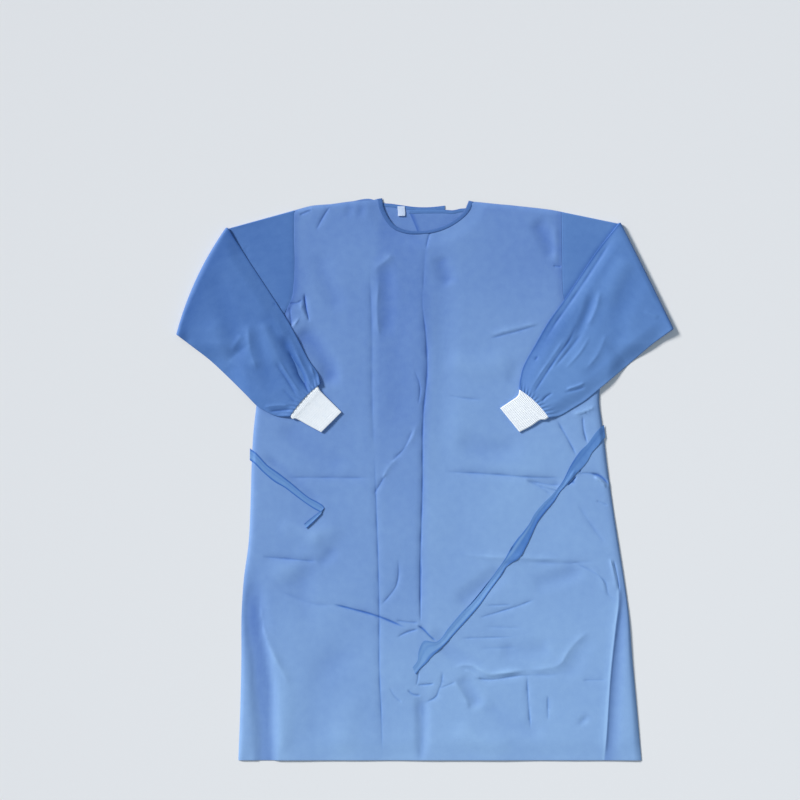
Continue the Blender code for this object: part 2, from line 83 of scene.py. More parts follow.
NECK_BACK_RIGHT = ((-32.8, 552.0), (10.0, 552.7), (41.6, 552.7), (57.4, 551.9),
                   (73.0, 555.1), (91.8, 558.5), (98.8, 569.5))
LEFT_BACK_EDGE = ((HEM, 38.0), (0, 39.5), (SHOULDER, 41.0))
RIGHT_BACK_EDGE = ((HEM, -8.0), (0, -5.0), (420, -3.0), (500, -12.0),
                   (SHOULDER, -32.8))
BACK_BINDING = 8.0
BACK_LEFT_NECK = 0.555
BACK_RIGHT_NECK = 0.421
BACK_NECK_STEPS = 18
BACK_TONE = 0.20
BACK_WAVE = 0.10
BACK_WAVE_SIZE = 90.0
CENTRE_BACK_LEFT = 0.985
CENTRE_BACK_RIGHT = 0.015
PANEL_STEPS = 34
EDGE_STEPS = 4
TONE_CLOUD = 0.08
TONE_CLOUD_SIZE = 160.0
# a line of painted shadow along each back panel's free edge: how dark, and its half width
EDGE_SHADOW = 0.9
EDGE_SHADOW_HALF = 2.0
LAP_SPARE = 4.0
LAP_RAMP = 34.0
CREASE_DEPTH = 1.7
# painted shade in a crease's hollow and painted light on its rise: tone per millimetre of height,
# and at most
SHADE_BY_HEIGHT = 0.13
SHADE_MOST = 0.42
CREASE_FADE = 0.22
CREASE_WAVE = 55.0
DIP_WAVE = 165.0
CREASE_UNEVEN = 0.22
CREASE_PHASE = 2.4
LINE_HALF = 1.7
LINE_DEEP = 0.30
POINTS_PER_STRETCH = 5

# Linear colours of the nonwoven where it looks deepest and lightest, what a
# line of painted shade multiplies them by, and the grain: contrasts, sizes and bump depths
BODY_DEEP = (0.088, 0.188, 0.505)
BODY_LIGHT = (0.282, 0.462, 0.735)
LINE_SHADE_TINT = (0.14, 0.41, 0.78, 1.0)
LINE_SHADE_MOST = 0.75
MOTTLE = 0.24
MOTTLE_SIZE = 16.0
FIBRE = 0.16
FIBRE_SIZE = 0.7
FIBRE_STRETCH = 0.16
FIBRE_DEPTH = 0.05
DOT_PITCH = 1.3
DOT_RIM = (0.16, 0.34)
DOT_DEPTH = 0.035
CLOUD_SIZE = 7.0
CLOUD_DEPTH = 0.10
ROUGHNESS = 0.56
ROUGHNESS_RANGE = 0.12


def smooth(value):
    """0 up to value 0, 1 from value 1, and a soft S between."""
    value = np.clip(value, 0.0, 1.0)
    return value * value * (3 - 2 * value)


def bend_through(knots, values, where):
    """A smooth curve through values, as a bent batten runs through its pins."""
    knots = np.asarray(knots, float)
    values = np.asarray(values, float)
    slopes = np.gradient(values, knots)
    where = np.clip(where, knots[0], knots[-1])
    low = np.clip(np.searchsorted(knots, where, side="right") - 1, 0, len(knots) - 2)
    span = knots[low + 1] - knots[low]
    part = (where - knots[low]) / span
    back = 1 - part
    return (back * back * (1 + 2 * part) * values[low]
            + part * part * (3 - 2 * part) * values[low + 1]
            + part * back * span * (back * slopes[low] - part * slopes[low + 1]))


def column_of(table, number):
    return [row[number] for row in table]


def edge_at(table, height, number):
    """One column of a table of sections, read at heights."""
    return bend_through(column_of(table, 0), column_of(table, number), height)


def run_of(steps):
    """Length from the first point to each point, for the steps between them."""
    return np.concatenate(([0.0], np.cumsum(steps)))


def along(points, share):
    """Places at shares of the length of a smooth curve through points."""
    points = np.asarray(points, float)
    run = run_of(np.hypot(*np.diff(points[:, :2], axis=0).T))
    where = np.asarray(share, float) * run[-1]
    return [bend_through(run, points[:, i], where) for i in range(points.shape[1])]


def spread(stops):
    """Values from a table of (value, how many steps lead to it)."""
    values = [stops[0][0]]
    for (low, _), (high, steps) in zip(stops, stops[1:]):
        values += [low + (high - low) * (i + 1) / steps for i in range(steps)]
    return np.array(values, float)


def joined(parts, across):
    """Places along an edge made of curves, each given with the share where it ends."""
    x, y = np.zeros_like(across), np.zeros_like(across)
    start = 0.0
    for points, end in parts:
        here = (across >= start) & (across <= end)
        x[here], y[here] = along(points, (across[here] - start) / (end - start))
        start = end
    return x, y


def panel_plan(across, height, straight, top_edge):
    """Plan of a body panel. Above the chest its rows bend to the top edge's curves."""
    bend = smooth((height - CHEST) / (SHOULDER - CHEST))
    top_x, top_y = joined(top_edge, across)
    at_top = np.full_like(height, SHOULDER)
    x = straight(across, height) + bend * (top_x - straight(across, at_top))
    return x, height + bend * (top_y - SHOULDER)


def laid_grid(columns, rows, plan):
    """A flat grid whose points move to plan(column, row), in millimetres."""
    bm = bmesh.new()
    last_column, last_row = len(columns) - 1, len(rows) - 1
    bmesh.ops.create_grid(bm, x_segments=last_column, y_segments=last_row, size=0.5)
    spots = np.array([point.co for point in bm.verts])
    across = columns[np.rint((spots[:, 0] + 0.5) * last_column).astype(int)]
    height = rows[np.rint((spots[:, 1] + 0.5) * last_row).astype(int)]
    x, y = plan(across, height)
    for point, px, py in zip(bm.verts, x, y):
        point.co = (px, py, 0.0)
    return bm


def waviness(x, y, size, seed):
    """Slow unevenness of limp cloth, about -1 to 1, from noise of one size."""
    values = [noise.noise(Vector((px / size, py / size, seed)))
              for px, py in zip(x.flat, y.flat)]
    return np.reshape(values, x.shape)


def mesh_of(name, bm):
    """A mesh of the geometry, which is then let go."""
    mesh = bpy.data.meshes.new(name)
    bm.to_mesh(mesh)
    bm.free()
    return mesh


def cloth_piece(name, bm, relief, finish):
    """Turns a plan into cloth. relief(x, y) gives height, tone and lines of painted shade.

    The cloth's own UV map is in metres of cloth, for its weave and bonding.
    """
    mesh = mesh_of(name, bm)
    spots = np.empty(len(mesh.vertices) * 3)
    mesh.vertices.foreach_get("co", spots)
    spots = spots.reshape(-1, 3)
    x, y = spots[:, 0].copy(), spots[:, 1].copy()
    spots[:, 2], tone, line_shade = relief(x, y)
    mesh.vertices.foreach_set("co", (spots * MM).ravel())
    for label, values in (("tone", tone), ("line_shade", line_shade)):
        layer = mesh.attributes.new(label, "FLOAT", "POINT")
        layer.data.foreach_set("value", values)
    corners = np.empty(len(mesh.loops), int)
    mesh.loops.foreach_get("vertex_index", corners)
    uv = np.stack((x[corners], y[corners]), axis=1) * MM
    mesh.uv_layers.new(name="cloth").data.foreach_set("uv", uv.ravel())
    return hang(name, mesh, finish, CLOTH)


def added(name, data):
    """A new object of the data, in the scene."""
    made = bpy.data.objects.new(name, data)
    bpy.context.collection.objects.link(made)
    return made


def hang(name, mesh, finish, wall=0):
    """An object of the mesh, with the cloth's thickness, that rides on the gown."""
    mesh.materials.append(finish)
    mesh.shade_smooth()
    mesh.update()
    piece = added(name, mesh)
    if wall:
        skin = piece.modifiers.new("cloth", "SOLIDIFY")
        skin.thickness = wall * MM
        skin.offset = -1.0
        even = piece.modifiers.new("even edges", "WEIGHTED_NORMAL")
        even.weight = 80
    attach(piece, "root")
    return piece


class Finish:
    """A material under construction: short ways to add and join its nodes."""

    def __init__(self, name):
        self.material = bpy.data.materials.new(name)
        self.material.use_nodes = True
        self.tree = self.material.node_tree
        self.shader = self.tree.nodes["Principled BSDF"]

    def feed(self, target, value):
        """Joins a socket to an input, or gives the input a value of its own."""
        if isinstance(value, bpy.types.NodeSocket):
            self.tree.links.new(value, target)
        else:
            target.default_value = value

    def look(self, node, **settings):
        """Sets a node's settings and inputs. Inputs have _ for each space in a name."""
        for key, value in settings.items():
            if hasattr(node, key):
                setattr(node, key, value)
            else:
                self.feed(node.inputs[key.replace("_", " ")], value)
        return node

    def add(self, kind, **settings):
        return self.look(self.tree.nodes.new("ShaderNode" + kind), **settings)

    def combine(self, operation, *values):
        """A Math node on sockets or numbers."""
        node = self.add("Math", operation=operation)
        for slot, value in zip(node.inputs, values):
            self.feed(slot, value)
        return node.outputs[0]

    def noise(self, vector, size, detail=3.0):
        """Noise whose blobs are about size millimetres across, from 0 to 1."""
        node = self.add("TexNoise", Vector=vector, Scale=1 / (size * MM), Detail=detail)
        return node.outputs["Fac"]

    def bump(self, height, depth, **below):
        """A bump of depth millimetres for a height of 1."""
        node = self.add("Bump", Strength=1.0, Distance=depth * MM, Height=height, **below)
        return node.outputs["Normal"]


def nonwoven(name, deep, light):
    """Spunbond nonwoven: cloudy fibre web, point-bonded dots and a faint sheen, coloured by a tone
    that is partly painted light and shade, and darkened along lines of painted shade.
    """
    finish = Finish(name)
    uv = finish.add("UVMap", uv_map="cloth").outputs[0]
    tone, line_shade = [finish.add("Attribute", attribute_name=field).outputs["Fac"]
                     for field in ("tone", "line_shade")]
    web = finish.noise(uv, MOTTLE_SIZE, detail=5.0)
    long_way = finish.add("Mapping", Vector=uv, Scale=(1.0, FIBRE_STRETCH, 1.0))
    fibres = finish.noise(long_way.outputs[0], FIBRE_SIZE, detail=2.0)
    for grain, contrast in ((web, MOTTLE), (fibres, FIBRE)):
        tone = finish.combine("ADD", tone, finish.combine(
            "MULTIPLY_ADD", grain, contrast, -contrast / 2))
    ramp = finish.add("ValToRGB", Fac=tone)
    ramp.color_ramp.elements[0].color = (*deep, 1.0)
    ramp.color_ramp.elements[1].color = (*light, 1.0)
    # painted shade: lines along creases and edges darken the colour towards the tint
    line = finish.add("Mix", data_type="RGBA", blend_type="MULTIPLY",
                      Factor=finish.combine("MULTIPLY", line_shade, LINE_SHADE_MOST),
                      A=ramp.outputs["Color"], B=LINE_SHADE_TINT)

    diagonal = finish.add("Mapping", Vector=uv, Rotation=(0.0, 0.0, math.radians(45)))
    dots = finish.add("TexVoronoi", Vector=diagonal.outputs[0],
                      Scale=1 / (DOT_PITCH * MM), Randomness=0.0)
    pits = finish.add("MapRange", Value=dots.outputs["Distance"],
                      From_Min=DOT_RIM[0], From_Max=DOT_RIM[1])
    normal = finish.bump(fibres, FIBRE_DEPTH)
    normal = finish.bump(pits.outputs[0], DOT_DEPTH, Normal=normal)
    normal = finish.bump(finish.noise(uv, CLOUD_SIZE), CLOUD_DEPTH, Normal=normal)
    finish.look(finish.shader, Base_Color=line.outputs["Result"], Normal=normal,
                Roughness=finish.combine("MULTIPLY_ADD", fibres, ROUGHNESS_RANGE, ROUGHNESS),
                Specular_IOR_Level=0.35, Sheen_Weight=0.12, Sheen_Roughness=0.5,
                Sheen_Tint=(0.75, 0.85, 1.0, 1.0))
    return finish.material


def fold(height, half, line_strength, *chain):
    """A sharp crease: height (minus for a trough), half width, strength of its groove and painted
    shade line, x, y, ...
    """
    return True, height, half, line_strength, np.reshape(chain, (-1, 2))


def ridge(height, half, *chain):
    """A sharp crease with no groove and no painted shade line."""
    return fold(height, half, 0.0, *chain)


def dip(height, half, *chain, line_strength=0.0):
    """A soft hollow painted darker as shade, or a soft rise painted lighter where its height isn't
    minus.
    """
    return False, height, half, line_strength, np.reshape(chain, (-1, 2))


gown_cloth = nonwoven("gown nonwoven", BODY_DEEP, BODY_LIGHT)

BACK_ROWS = spread(((HEM, 0), (ARMPIT, 86), (SHOULDER, 30)))
BACK_CREASES = (
    # packing folds across and down, and a few short ones between them
    fold(0.22, 16, 0.5, -366, -160, -140, -168, 60, -163, 250, -170, 412, -166),
    fold(0.22, 16, 0.5, -348, 12, -150, 5, 40, 9, 220, 3, 372, 8),
    fold(0.18, 16, 0.4, -92, 480, -97, 250, -94, 40, -99, -220, -90, -540),
    fold(0.18, 16, 0.4, 166, 470, 160, 200, 163, 20, 157, -200, 165, -540),
    fold(0.2, 11, 0.3, -300, -250, -240, -290, -205, -345),
    fold(0.2, 11, 0.3, 240, -60, 268, -100, 282, -138),
    fold(0.2, 11, 0.3, 60, -320, 110, -345, 150, -340),
    fold(0.2, 11, 0.3, -250, 250, -210, 205, -190, 150),
    fold(0.2, 11, 0.3, 215, 330, 240, 290, 236, 240),
    fold(0.2, 11, 0.3, -40, -420, -15, -455, -20, -500),
)


def no_rise(x):
    """The left back panel lies lowest."""
    return 0.0 * x


def lap_rise(x):
    """Rise of the right back panel where it lies on the left one."""
    edge = LEFT_BACK_EDGE[-1][1] + LAP_SPARE
    return BACK_LAP * (1 - smooth((x - edge) / LAP_RAMP))


def lowered(points, drop):
    """A neckline moved down, so that the cloth ends inside its binding."""
    return tuple((x, y - drop) for x, y in points)


def from_chain(x, y, points):
    """Distance of places from a chain of points, share along it, and its length."""
    if len(points) > 2:
        points = np.stack(along(points, np.linspace(
            0, 1, POINTS_PER_STRETCH * (len(points) - 1) + 1)), axis=1)
    points = np.asarray(points, float)
    lengths = np.hypot(*np.diff(points, axis=0).T)
    nearest = np.full(x.shape, np.inf)
    share = np.zeros(x.shape)
    start = 0.0
    for (x0, y0), (x1, y1), length in zip(points, points[1:], lengths):
        run_x, run_y = (x1 - x0) / length, (y1 - y0) / length
        place = np.clip((x - x0) * run_x + (y - y0) * run_y, 0, length)
        away = np.hypot(x - x0 - place * run_x, y - y0 - place * run_y)
        closer = away < nearest
        nearest = np.where(closer, away, nearest)
        share = np.where(closer, start + place, share)
        start += length
    return nearest, share / start, start


def crease_relief(x, y, creases):
    """Height that creases add, the painted shade along their lines, and the shade painted in their
    hollows and light on their rises.
    """
    relief, line_shade, shade = np.zeros_like(x), np.zeros_like(x), np.zeros_like(x)
    for number, (sharp, height, half, line_strength, points) in enumerate(creases):
        away, share, length = from_chain(x, y, points)
        turns = 2 * math.pi * share * length / (CREASE_WAVE if sharp else DIP_WAVE)
        strength = 1 + CREASE_UNEVEN * np.sin(turns + CREASE_PHASE * number)
        strength *= smooth(share / CREASE_FADE) * smooth((1 - share) / CREASE_FADE)
        shoulder = np.clip(1 - away / half, 0, 1)
        shape = shoulder ** 3 if sharp else smooth(shoulder)
        # the crease's line: a shallow groove, with painted shade along it
        line = line_strength * strength * np.exp(-(away / LINE_HALF) ** 2)
        relief += CREASE_DEPTH * height * strength * shape - LINE_DEEP * line
        line_shade += line
        # painted shade in the hollows and painted light on the rises
        shade += SHADE_BY_HEIGHT * height * strength * shape
    return relief, np.clip(line_shade, 0, 1), np.clip(shade, -SHADE_MOST, SHADE_MOST)


def back_panel(name, sides, raw, top_edge, columns, rise, seed):
    """A back panel between two sides, each a table and its column.

    raw is the table of its free edge, and how far in the line of painted shadow along it lies.
    """
    def straight(across, height):
        low, high = [edge_at(table, height, number) for table, number in sides]
        return low + (high - low) * across

    def relief(x, y):
        level = BACK_LOW + CLOTH + rise(x)
        level += BACK_WAVE * (1 + waviness(x, y, BACK_WAVE_SIZE, seed))
        folds, line_shade, shade = crease_relief(x, y, BACK_CREASES)
        from_edge = x - edge_at(raw[0], y, 1) - raw[1]
        # painted shadow along the free edge
        line_shade += EDGE_SHADOW * np.exp(-(from_edge / EDGE_SHADOW_HALF) ** 2)
        # tone: a random cloud, and the creases' painted light and shade
        tone = BACK_TONE + TONE_CLOUD * waviness(x, y, TONE_CLOUD_SIZE, seed + 5)
        return level + folds, tone + shade, line_shade

    bm = laid_grid(spread(columns), BACK_ROWS, lambda across, height:
                   panel_plan(across, height, straight, top_edge))
    piece = cloth_piece(name + "_cloth", bm, relief, gown_cloth)
    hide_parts(name)
    return piece


left_neck = lowered(NECK_BACK_LEFT, BACK_BINDING - 1)
right_neck = lowered(NECK_BACK_RIGHT, BACK_BINDING - 1)
back_left = back_panel(
    "back_left", ((SIDE_EDGE, 1), (LEFT_BACK_EDGE, 1)), (LEFT_BACK_EDGE, 0.0),
    ((SHOULDER_LEFT[:-1] + left_neck[:1], BACK_LEFT_NECK), (left_neck, 1.0)),
    ((0, 0), (BACK_LEFT_NECK, PANEL_STEPS), (CENTRE_BACK_LEFT, BACK_NECK_STEPS),
     (1, EDGE_STEPS)), no_rise, 2.0)
back_right = back_panel(
    "back_right", ((RIGHT_BACK_EDGE, 1), (SIDE_EDGE, 2)), (RIGHT_BACK_EDGE, 1.0),
    ((right_neck, BACK_RIGHT_NECK), (right_neck[-1:] + SHOULDER_RIGHT[1:], 1.0)),
    ((0, 0), (CENTRE_BACK_RIGHT, EDGE_STEPS), (BACK_RIGHT_NECK, BACK_NECK_STEPS),
     (1, PANEL_STEPS)), lap_rise, 3.0)


# Front
# One piece of nonwoven from side to side, with the packing folds it was pressed
# into. It lies loose on the back panels, and a pleat has gathered by the right side.
FRONT_TOP = 4.7
RIGHT_RISE = 0.5
RIGHT_RISE_WIDTH = 18.0
EDGE_TOP = 1.5
LAP_TOP = 2.5
LAP_SIDE = 46.0
EDGE_ROLL = 15.0
SEAM_LEVEL = 4.7
NECK_FALL = 1.9
NECK_FALL_REACH = 34.0
SEAM_BLEND = 15.0
SEAM_START = 60.0
# shade painted at the armhole seams and by the left armpit
SEAM_SHADE = 0.16
ARMPIT_SHADE = 0.20
ARMPIT_REACH = 44.0
ARMPIT_HEIGHT = 190.0
SHOULDER_ROLL = 9.0
HEM_TOP = 3.4
HEM_WAVE = 0.5
HEM_WAVE_LENGTH = 61.0
HEM_RIPPLE = 0.3
HEM_RIPPLE_LENGTH = 23.0
HEM_ROLL = 45.0
NECK_FRONT = ((-96.4, 575.2), (-93.3, 558.6), (-85.3, 540.2), (-66.6, 516.6),
              (-38.3, 505.3), (-13.1, 504.1), (30.8, 510.3), (65.2, 526.9),
              (88.8, 548.4), (98.8, 569.5))
NECK_START = 0.314
NECK_END = 0.669
FRONT_TOP_EDGE = ((SHOULDER_LEFT, NECK_START), (NECK_FRONT, NECK_END), (SHOULDER_RIGHT, 1))
LAP_PRINT = 0.48
PLEAT = 0.95
CREASE_COLUMNS = (
    # height, packing fold, print of the lap, pleat: columns of the grid follow them
    (HEM, -88, -8, 366),
    (-360, -92, -8, 383),
    (-250, -94, -8, 399),
    (-165, -96, -7, 380),
    (46, -104, -3, 335),
    (ARMPIT, -108, 0, 318),
    (440, -111, 3, 254),
    (SHOULDER, -95.5, -4.6, 252.8),
)
FRONT_COLUMNS = spread(((0, 0), (0.03, 6), (0.285, 33), (0.345, 9), (0.45, 13),
                        (0.51, 9), (0.90, 48), (0.97, 10), (1, 6)))
FRONT_ROWS = spread(((HEM, 0), (-551, 4), (-430, 20), (-220, 38), (-140, 14),
                     (30, 26), (ARMPIT, 38), (440, 24), (SHOULDER, 18)))

# Each crease paints shade in its hollow and along its line, and light on its rise.
CREASES = (
    # packing fold left of the centre
    fold(-0.6, 16, 0.15, -113, 440, -109, 331, -107, 128, -103, 46),
    fold(-0.6, 16, 0.55, -104, 70, -99, -80, -96, -165, -94, -255, -93, -405, -90, -466, -87, -590),
    # print of the lapped back edge
    fold(-0.5, 10, 0.3, 14, 516, 6, 491, 2, 470),
    fold(-0.3, 10, 0.1, 2, 477, -2, 430, -3, 380),
    fold(-1, 14, 0.6, -4, 415, -5, 356, 1, 306, 4, 208, -2, 149, -5, -22, -9, -165, -9, -294),
    fold(-0.9, 9, 0.5, -8, -165, -9, -240, -9, -296),
    dip(-1.5, 20, -9, -438, -5, -480, -8, -590, line_strength=0.15),
    # packing folds that run across
    fold(-0.7, 18, 0.25, -290, 4, -200, 4, -100, 3),
    fold(-1, 18, 0.45, 35, 17, 152, 10, 213, 5, 290, 4),
    fold(-0.9, 12, 0.45, 308, 12, 342, 12, 360, 6, 380, -12),
    fold(-1.1, 7, 0.6, 340, 13, 358, 8, 368, 0, 378, -12),
    ridge(1.9, 8, 346, 6, 360, -3, 372, -16),
    fold(-0.6, 7, 0.8, 309, 36, 316, 26, 319, 13),
    fold(-0.8, 7, 1.1, 311, 8, 303, -3, 291, -13),
    ridge(0.7, 7, 304, 16, 298, 4, 290, -4),
    dip(-0.9, 15, 206, -1, 245, -5, 284, -10),
    fold(-0.6, 9, 0.35, 216, -3, 252, -10, 280, -12),
    fold(-0.5, 8, 0.3, 232, -12, 258, -20, 276, -24),
    fold(-0.8, 14, 0.2, 205, 1, 235, -14, 262, -34),
    fold(-1.1, 18, 0.4, -335, -158, -275, -163, -218, -168),
    dip(-0.9, 18, -217, -176, -200, -160, -182, -140),
    ridge(0.7, 14, 70, -150, 110, -157, 190, -160, 290, -163),
    fold(-0.7, 14, 0.1, 200, -168, 303, -171, 350, -167),
    dip(-1.1, 30, 170, -178, 130, -210, 60, -262),
    dip(-0.9, 26, 330, -180, 265, -205, 215, -222),
    # the long fold that runs down to the end of the tie
    fold(-0.5, 14, 0.1, -300, -226, -225, -255, -180, -258),
    fold(-0.9, 12, 1.6, -192, -254, -149, -265, -99, -279, -54, -297, -36, -305),
    fold(-0.6, 10, 0.45, -60, -288, -35, -292, -12, -293),
    fold(-0.7, 10, 0.55, -58, -323, -35, -312, -12, -306),
    fold(-0.9, 10, 1.3, -16, -298, -5, -305, 11, -321, 24, -332),
    fold(-0.7, 12, 0.35, -55, -160, -54, -196, -58, -216, -75, -241, -92, -259),
    fold(-0.6, 12, 0.3, -82, 8, -92, -10, -106, -32),
    # fan of fine creases beside the long tie
    fold(-0.7, 12, 0.4, 108, -284, 155, -270, 190, -259, 228, -244),
    fold(-0.4, 10, 0.25, 124, -258, 180, -256),
    fold(-0.4, 10, 0.25, 70, -325, 186, -322),
    fold(-0.35, 9, 0.15, 110, -346, 190, -343),
    fold(-0.35, 9, 0.15, 120, -301, 200, -303),
    # ridge and hollow below the tie's end
    ridge(1.4, 13, 58, -388, 77, -380, 94, -380, 115, -390, 129, -398, 157, -396, 215, -389),
    ridge(0.7, 8, 80, -388, 100, -398, 116, -410),
    fold(-1, 14, 0.25, 100, -406, 130, -410, 172, -405, 211, -399),
    fold(-0.5, 12, 0.15, 190, -403, 225, -400, 262, -400, 284, -394),
    ridge(0.7, 16, 206, -388, 250, -386, 276, -378, 292, -354, 312, -330, 340, -308),
    dip(-0.5, 26, 262, -398, 300, -388, 318, -352, 350, -318),
    dip(-0.9, 30, 150, -350, 215, -352, 262, -340),
    dip(-1.3, 24, 70, -402, 94, -436, 112, -470),
    ridge(0.7, 12, 60, -412, 78, -440, 92, -470),
    fold(-0.8, 11, 0.45, 209, -396, 211, -442, 217, -515),
    fold(-0.6, 9, 0.35, 252, -440, 252, -494),
    dip(-1, 16, 322, -488, 328, -498),
    # crumpled star at the tie's end
    fold(-0.7, 9, 0.55, -17, -421, 0, -420, 20, -418),
    fold(-0.6, 9, 0.45, 36, -390, 34, -417, 29, -430, 24, -443, -2, -458),
    fold(-0.4, 9, 0.3, 30, -428, 63, -414),
    fold(-0.6, 8, 0.5, -37, -430, -24, -440, -7, -442),
    fold(-0.5, 9, 0.25, -13, -392, -14, -407, -18, -424),
    fold(-0.4, 8, 0.2, -74, -424, -60, -446, -46, -458),
    # creases by the right side and the tie's root
    fold(-0.8, 11, 0.5, 270, 122, 291, 86, 312, 46),
    fold(-1, 10, 0.45, 323, 132, 325, 104, 333, 72),
    ridge(1.5, 8, 300, 133, 325, 139, 352, 151),
    fold(-0.5, 14, 0.15, 312, -50, 342, -95, 372, -136),
    fold(-0.5, 9, 0.2, 350, -43, 376, -53),
    fold(-0.6, 13, 0.2, 305, -170, 344, -189, 371, -213, 375, -234, 392, -249),
    fold(-0.4, 12, 0.2, 322, -411, 372, -410),
    # chest
    ridge(0.8, 11, 130, 295, 188, 310, 240, 323),
    fold(-0.5, 9, 0.3, 130, 288, 180, 301, 230, 315),
    fold(-0.5, 12, 0.2, 45, 173, 80, 167, 120, 163),
    dip(-1, 24, 28, 460, 40, 425, 52, 395),
    dip(-1, 24, -84, 450, -78, 405, -76, 342, -84, 285),
    dip(-0.3, 34, -46, 380, -56, 280, -50, 180, -62, 90),
    ridge(0.8, 22, -64, 462, -106, 428),
    ridge(0.7, 16, -94, 420, -98, 340, -92, 280),
    # shoulders
    fold(-0.7, 12, 0.3, -193, 562, -208, 538, -224, 509),
    fold(-0.6, 10, 0.3, -258, 541, -230, 553),
    dip(-0.6, 14, -152, 565, -158, 535),
    dip(-0.6, 14, -128, 568, -131, 536),
    dip(-1.2, 24, 226, 535, 244, 500, 266, 452),
    dip(0.6, 14, 268, 524, 269, 480, 269, 438),
    fold(-0.6, 7, 0.4, 262, 438, 281, 436),
    # pull at the left armhole
    fold(-0.8, 9, 0.5, -278, 361, -261, 362, -250, 369),
    fold(-1.4, 11, 0.8, -247, 384, -244, 356, -236, 322),
    ridge(1.1, 9, -256, 362, -248, 342, -240, 325),
    fold(-1, 11, 0.45, -277, 354, -273, 313),
    ridge(0.9, 9, -271, 308, -258, 332),
    # hollows beside the folded sleeves, painted darker as the sleeves' shadow
    dip(-2.4, 30, -262, 312, -222, 268, -198, 226, -196, 184),
    dip(-0.6, 20, 196, 250, 182, 210, 176, 190),
    # painted shadow beside the left tie, in a shallow hollow
    dip(-1.1, 13, -336, 56, -292, 20, -258, -10, -222, -40, -205, -52),
    # soft hollow and rise along the left side
    dip(-2.6, 34, -360, -150, -352, -250, -343, -345, -334, -405, -329, -466, -327, -720),
    ridge(1.3, 20, -338, -240, -331, -300, -313, -352, -294, -388, -274, -425),
    dip(0.8, 30, -300, -372, -288, -430, -292, -500, -298, -720),
    dip(-0.5, 34, -230, -120, -250, -215, -230, -320),
    dip(-0.5, 44, -150, -330, -215, -420, -225, -560),
    dip(0.6, 40, -140, -420, -165, -520, -160, -640),
    dip(0.8, 30, -300, -90, -250, -110, -205, -120),
    dip(1, 34, -330, -200, -262, -178, -215, -122, -170, -84),
    dip(-1, 28, -342, -270, -330, -400, -324, -480, -318, -720),
    dip(-1, 26, 10, -300, 42, -345, 84, -372, 130, -400),
    dip(-0.7, 30, 120, -450, 180, -500, 250, -520),
    dip(0.8, 36, 60, -500, 110, -540, 180, -560),
    dip(-0.8, 34, -300, 120, -230, 60, -160, 20),
    dip(0.7, 34, -280, 200, -210, 150, -150, 130),
    dip(-0.8, 34, 60, 90, 130, 60, 210, 70),
    dip(0.8, 38, 40, 250, 110, 230, 180, 250),
    dip(-0.7, 30, -220, 470, -200, 400, -170, 340),
    dip(-0.8, 46, 30, 520, 34, 300, 32, 100, 30, -60),
    # pinches of the band between the two long creases
    ridge(0.6, 16, -58, 50, -30, 78, -14, 118),
    fold(-0.7, 12, 0.2, -70, 36, -44, 62, -24, 104),
    ridge(0.7, 12, -88, 0, -70, 30, -52, 46),
    fold(-0.6, 10, 0.25, -22, 226, -10, 190, -14, 150),
    # short folds by the lower right side
    ridge(0.9, 10, 378, -158, 386, -190, 392, -228),
    fold(-0.8, 9, 0.25, 386, -162, 394, -196, 399, -232),
    ridge(0.6, 12, 340, -180, 362, -205, 372, -240),
)
PLEAT_LINE = ((-150, 377), (-165, 381), (-183, 391), (-218, 395.5), (-249, 396),
              (-300, 390), (-358, 383.5), (-411, 378.5), (-466, 375), (-526, 371),
              (-590, 365.5))
PLEAT_START = -160.0
PLEAT_FULL = -300.0
PLEAT_LIP = 1.4
PLEAT_LIP_HALF = 22.0
PLEAT_DROP = 1.5
PLEAT_DROP_WIDTH = 9.0
PLEAT_BACK = 26.0
PLEAT_REST = 0.6
PLEAT_SHADE_WIDTH = 40.0
# painted highlight on the pleat's lip, and painted shadow past its drop
PLEAT_LIGHT = 0.30
PLEAT_SHADE = 0.40
COVER_LEVEL = 4.95
COVER_FADE = 9.0
# shade painted under the sleeves and cuffs
COVER_SHADE = 0.10
SLOW_WAVE = 0.9
SLOW_WAVE_SIZE = 130.0
FINE_WAVE = 0.22
FINE_WAVE_SIZE = 48.0
# painted light on the slow waves' rises, and painted shade in their hollows
WAVE_SHADE = 0.10
TOP_TONE = 0.29
# painted light: paler towards the hem
HEM_PALER = 0.50
HEM_BEND = 1.45
RIGHT_PALER = 0.05
RIGHT_MIDDLE_PALER = 0.18
BAND_DEEPER = 0.11
BAND_HEM_PALER = 0.10
KNEE = 0.68
KNEE_WIDTH = 0.12
KNEE_DEEPER = 0.05
TONE_BLEND = 20.0
FRONT_CLOUD = 0.05
FRONT_CLOUD_SIZE = 170.0
REFINE_REACH = ((5.0, 0.0), (3.5, 0.2), (2.5, 0.8))

# Where the folded sleeves and their cuffs lie on the front
SLEEVE_LEFT = (
    # overarm x, overarm y, underarm x, underarm y, from the fold to the wrist
    (-406.9, 516.6, -509.4, 296.2),
    (-366.9, 454.1, -481.8, 275.7),
    (-332.1, 402.8, -441.8, 245.0),
    (-299.9, 354.7, -401.8, 208.1),
    (-279.6, 322.9, -369.0, 176.3),
    (-259.3, 286.0, -343.8, 150.7),
    (-239.0, 247.0, -328.0, 141.0),
    (-219.4, 218.5, -303.4, 130.2),
    (-213.0, 196.5, -276.5, 128.5),
)
SLEEVE_RIGHT = (
    (400.6, 526.9, 510.0, 307.9),
    (354.0, 468.4, 471.5, 280.9),
    (313.7, 409.0, 434.6, 250.1),
    (285.0, 366.7, 394.6, 216.3),
    (252.8, 322.9, 355.9, 184.5),
    (224.3, 273.7, 328.8, 162.4),
    (202.1, 232.7, 303.4, 146.6),
    (193.9, 200.5, 276.8, 131.2),
    (192.7, 184.5, 253.6, 126.1),
)
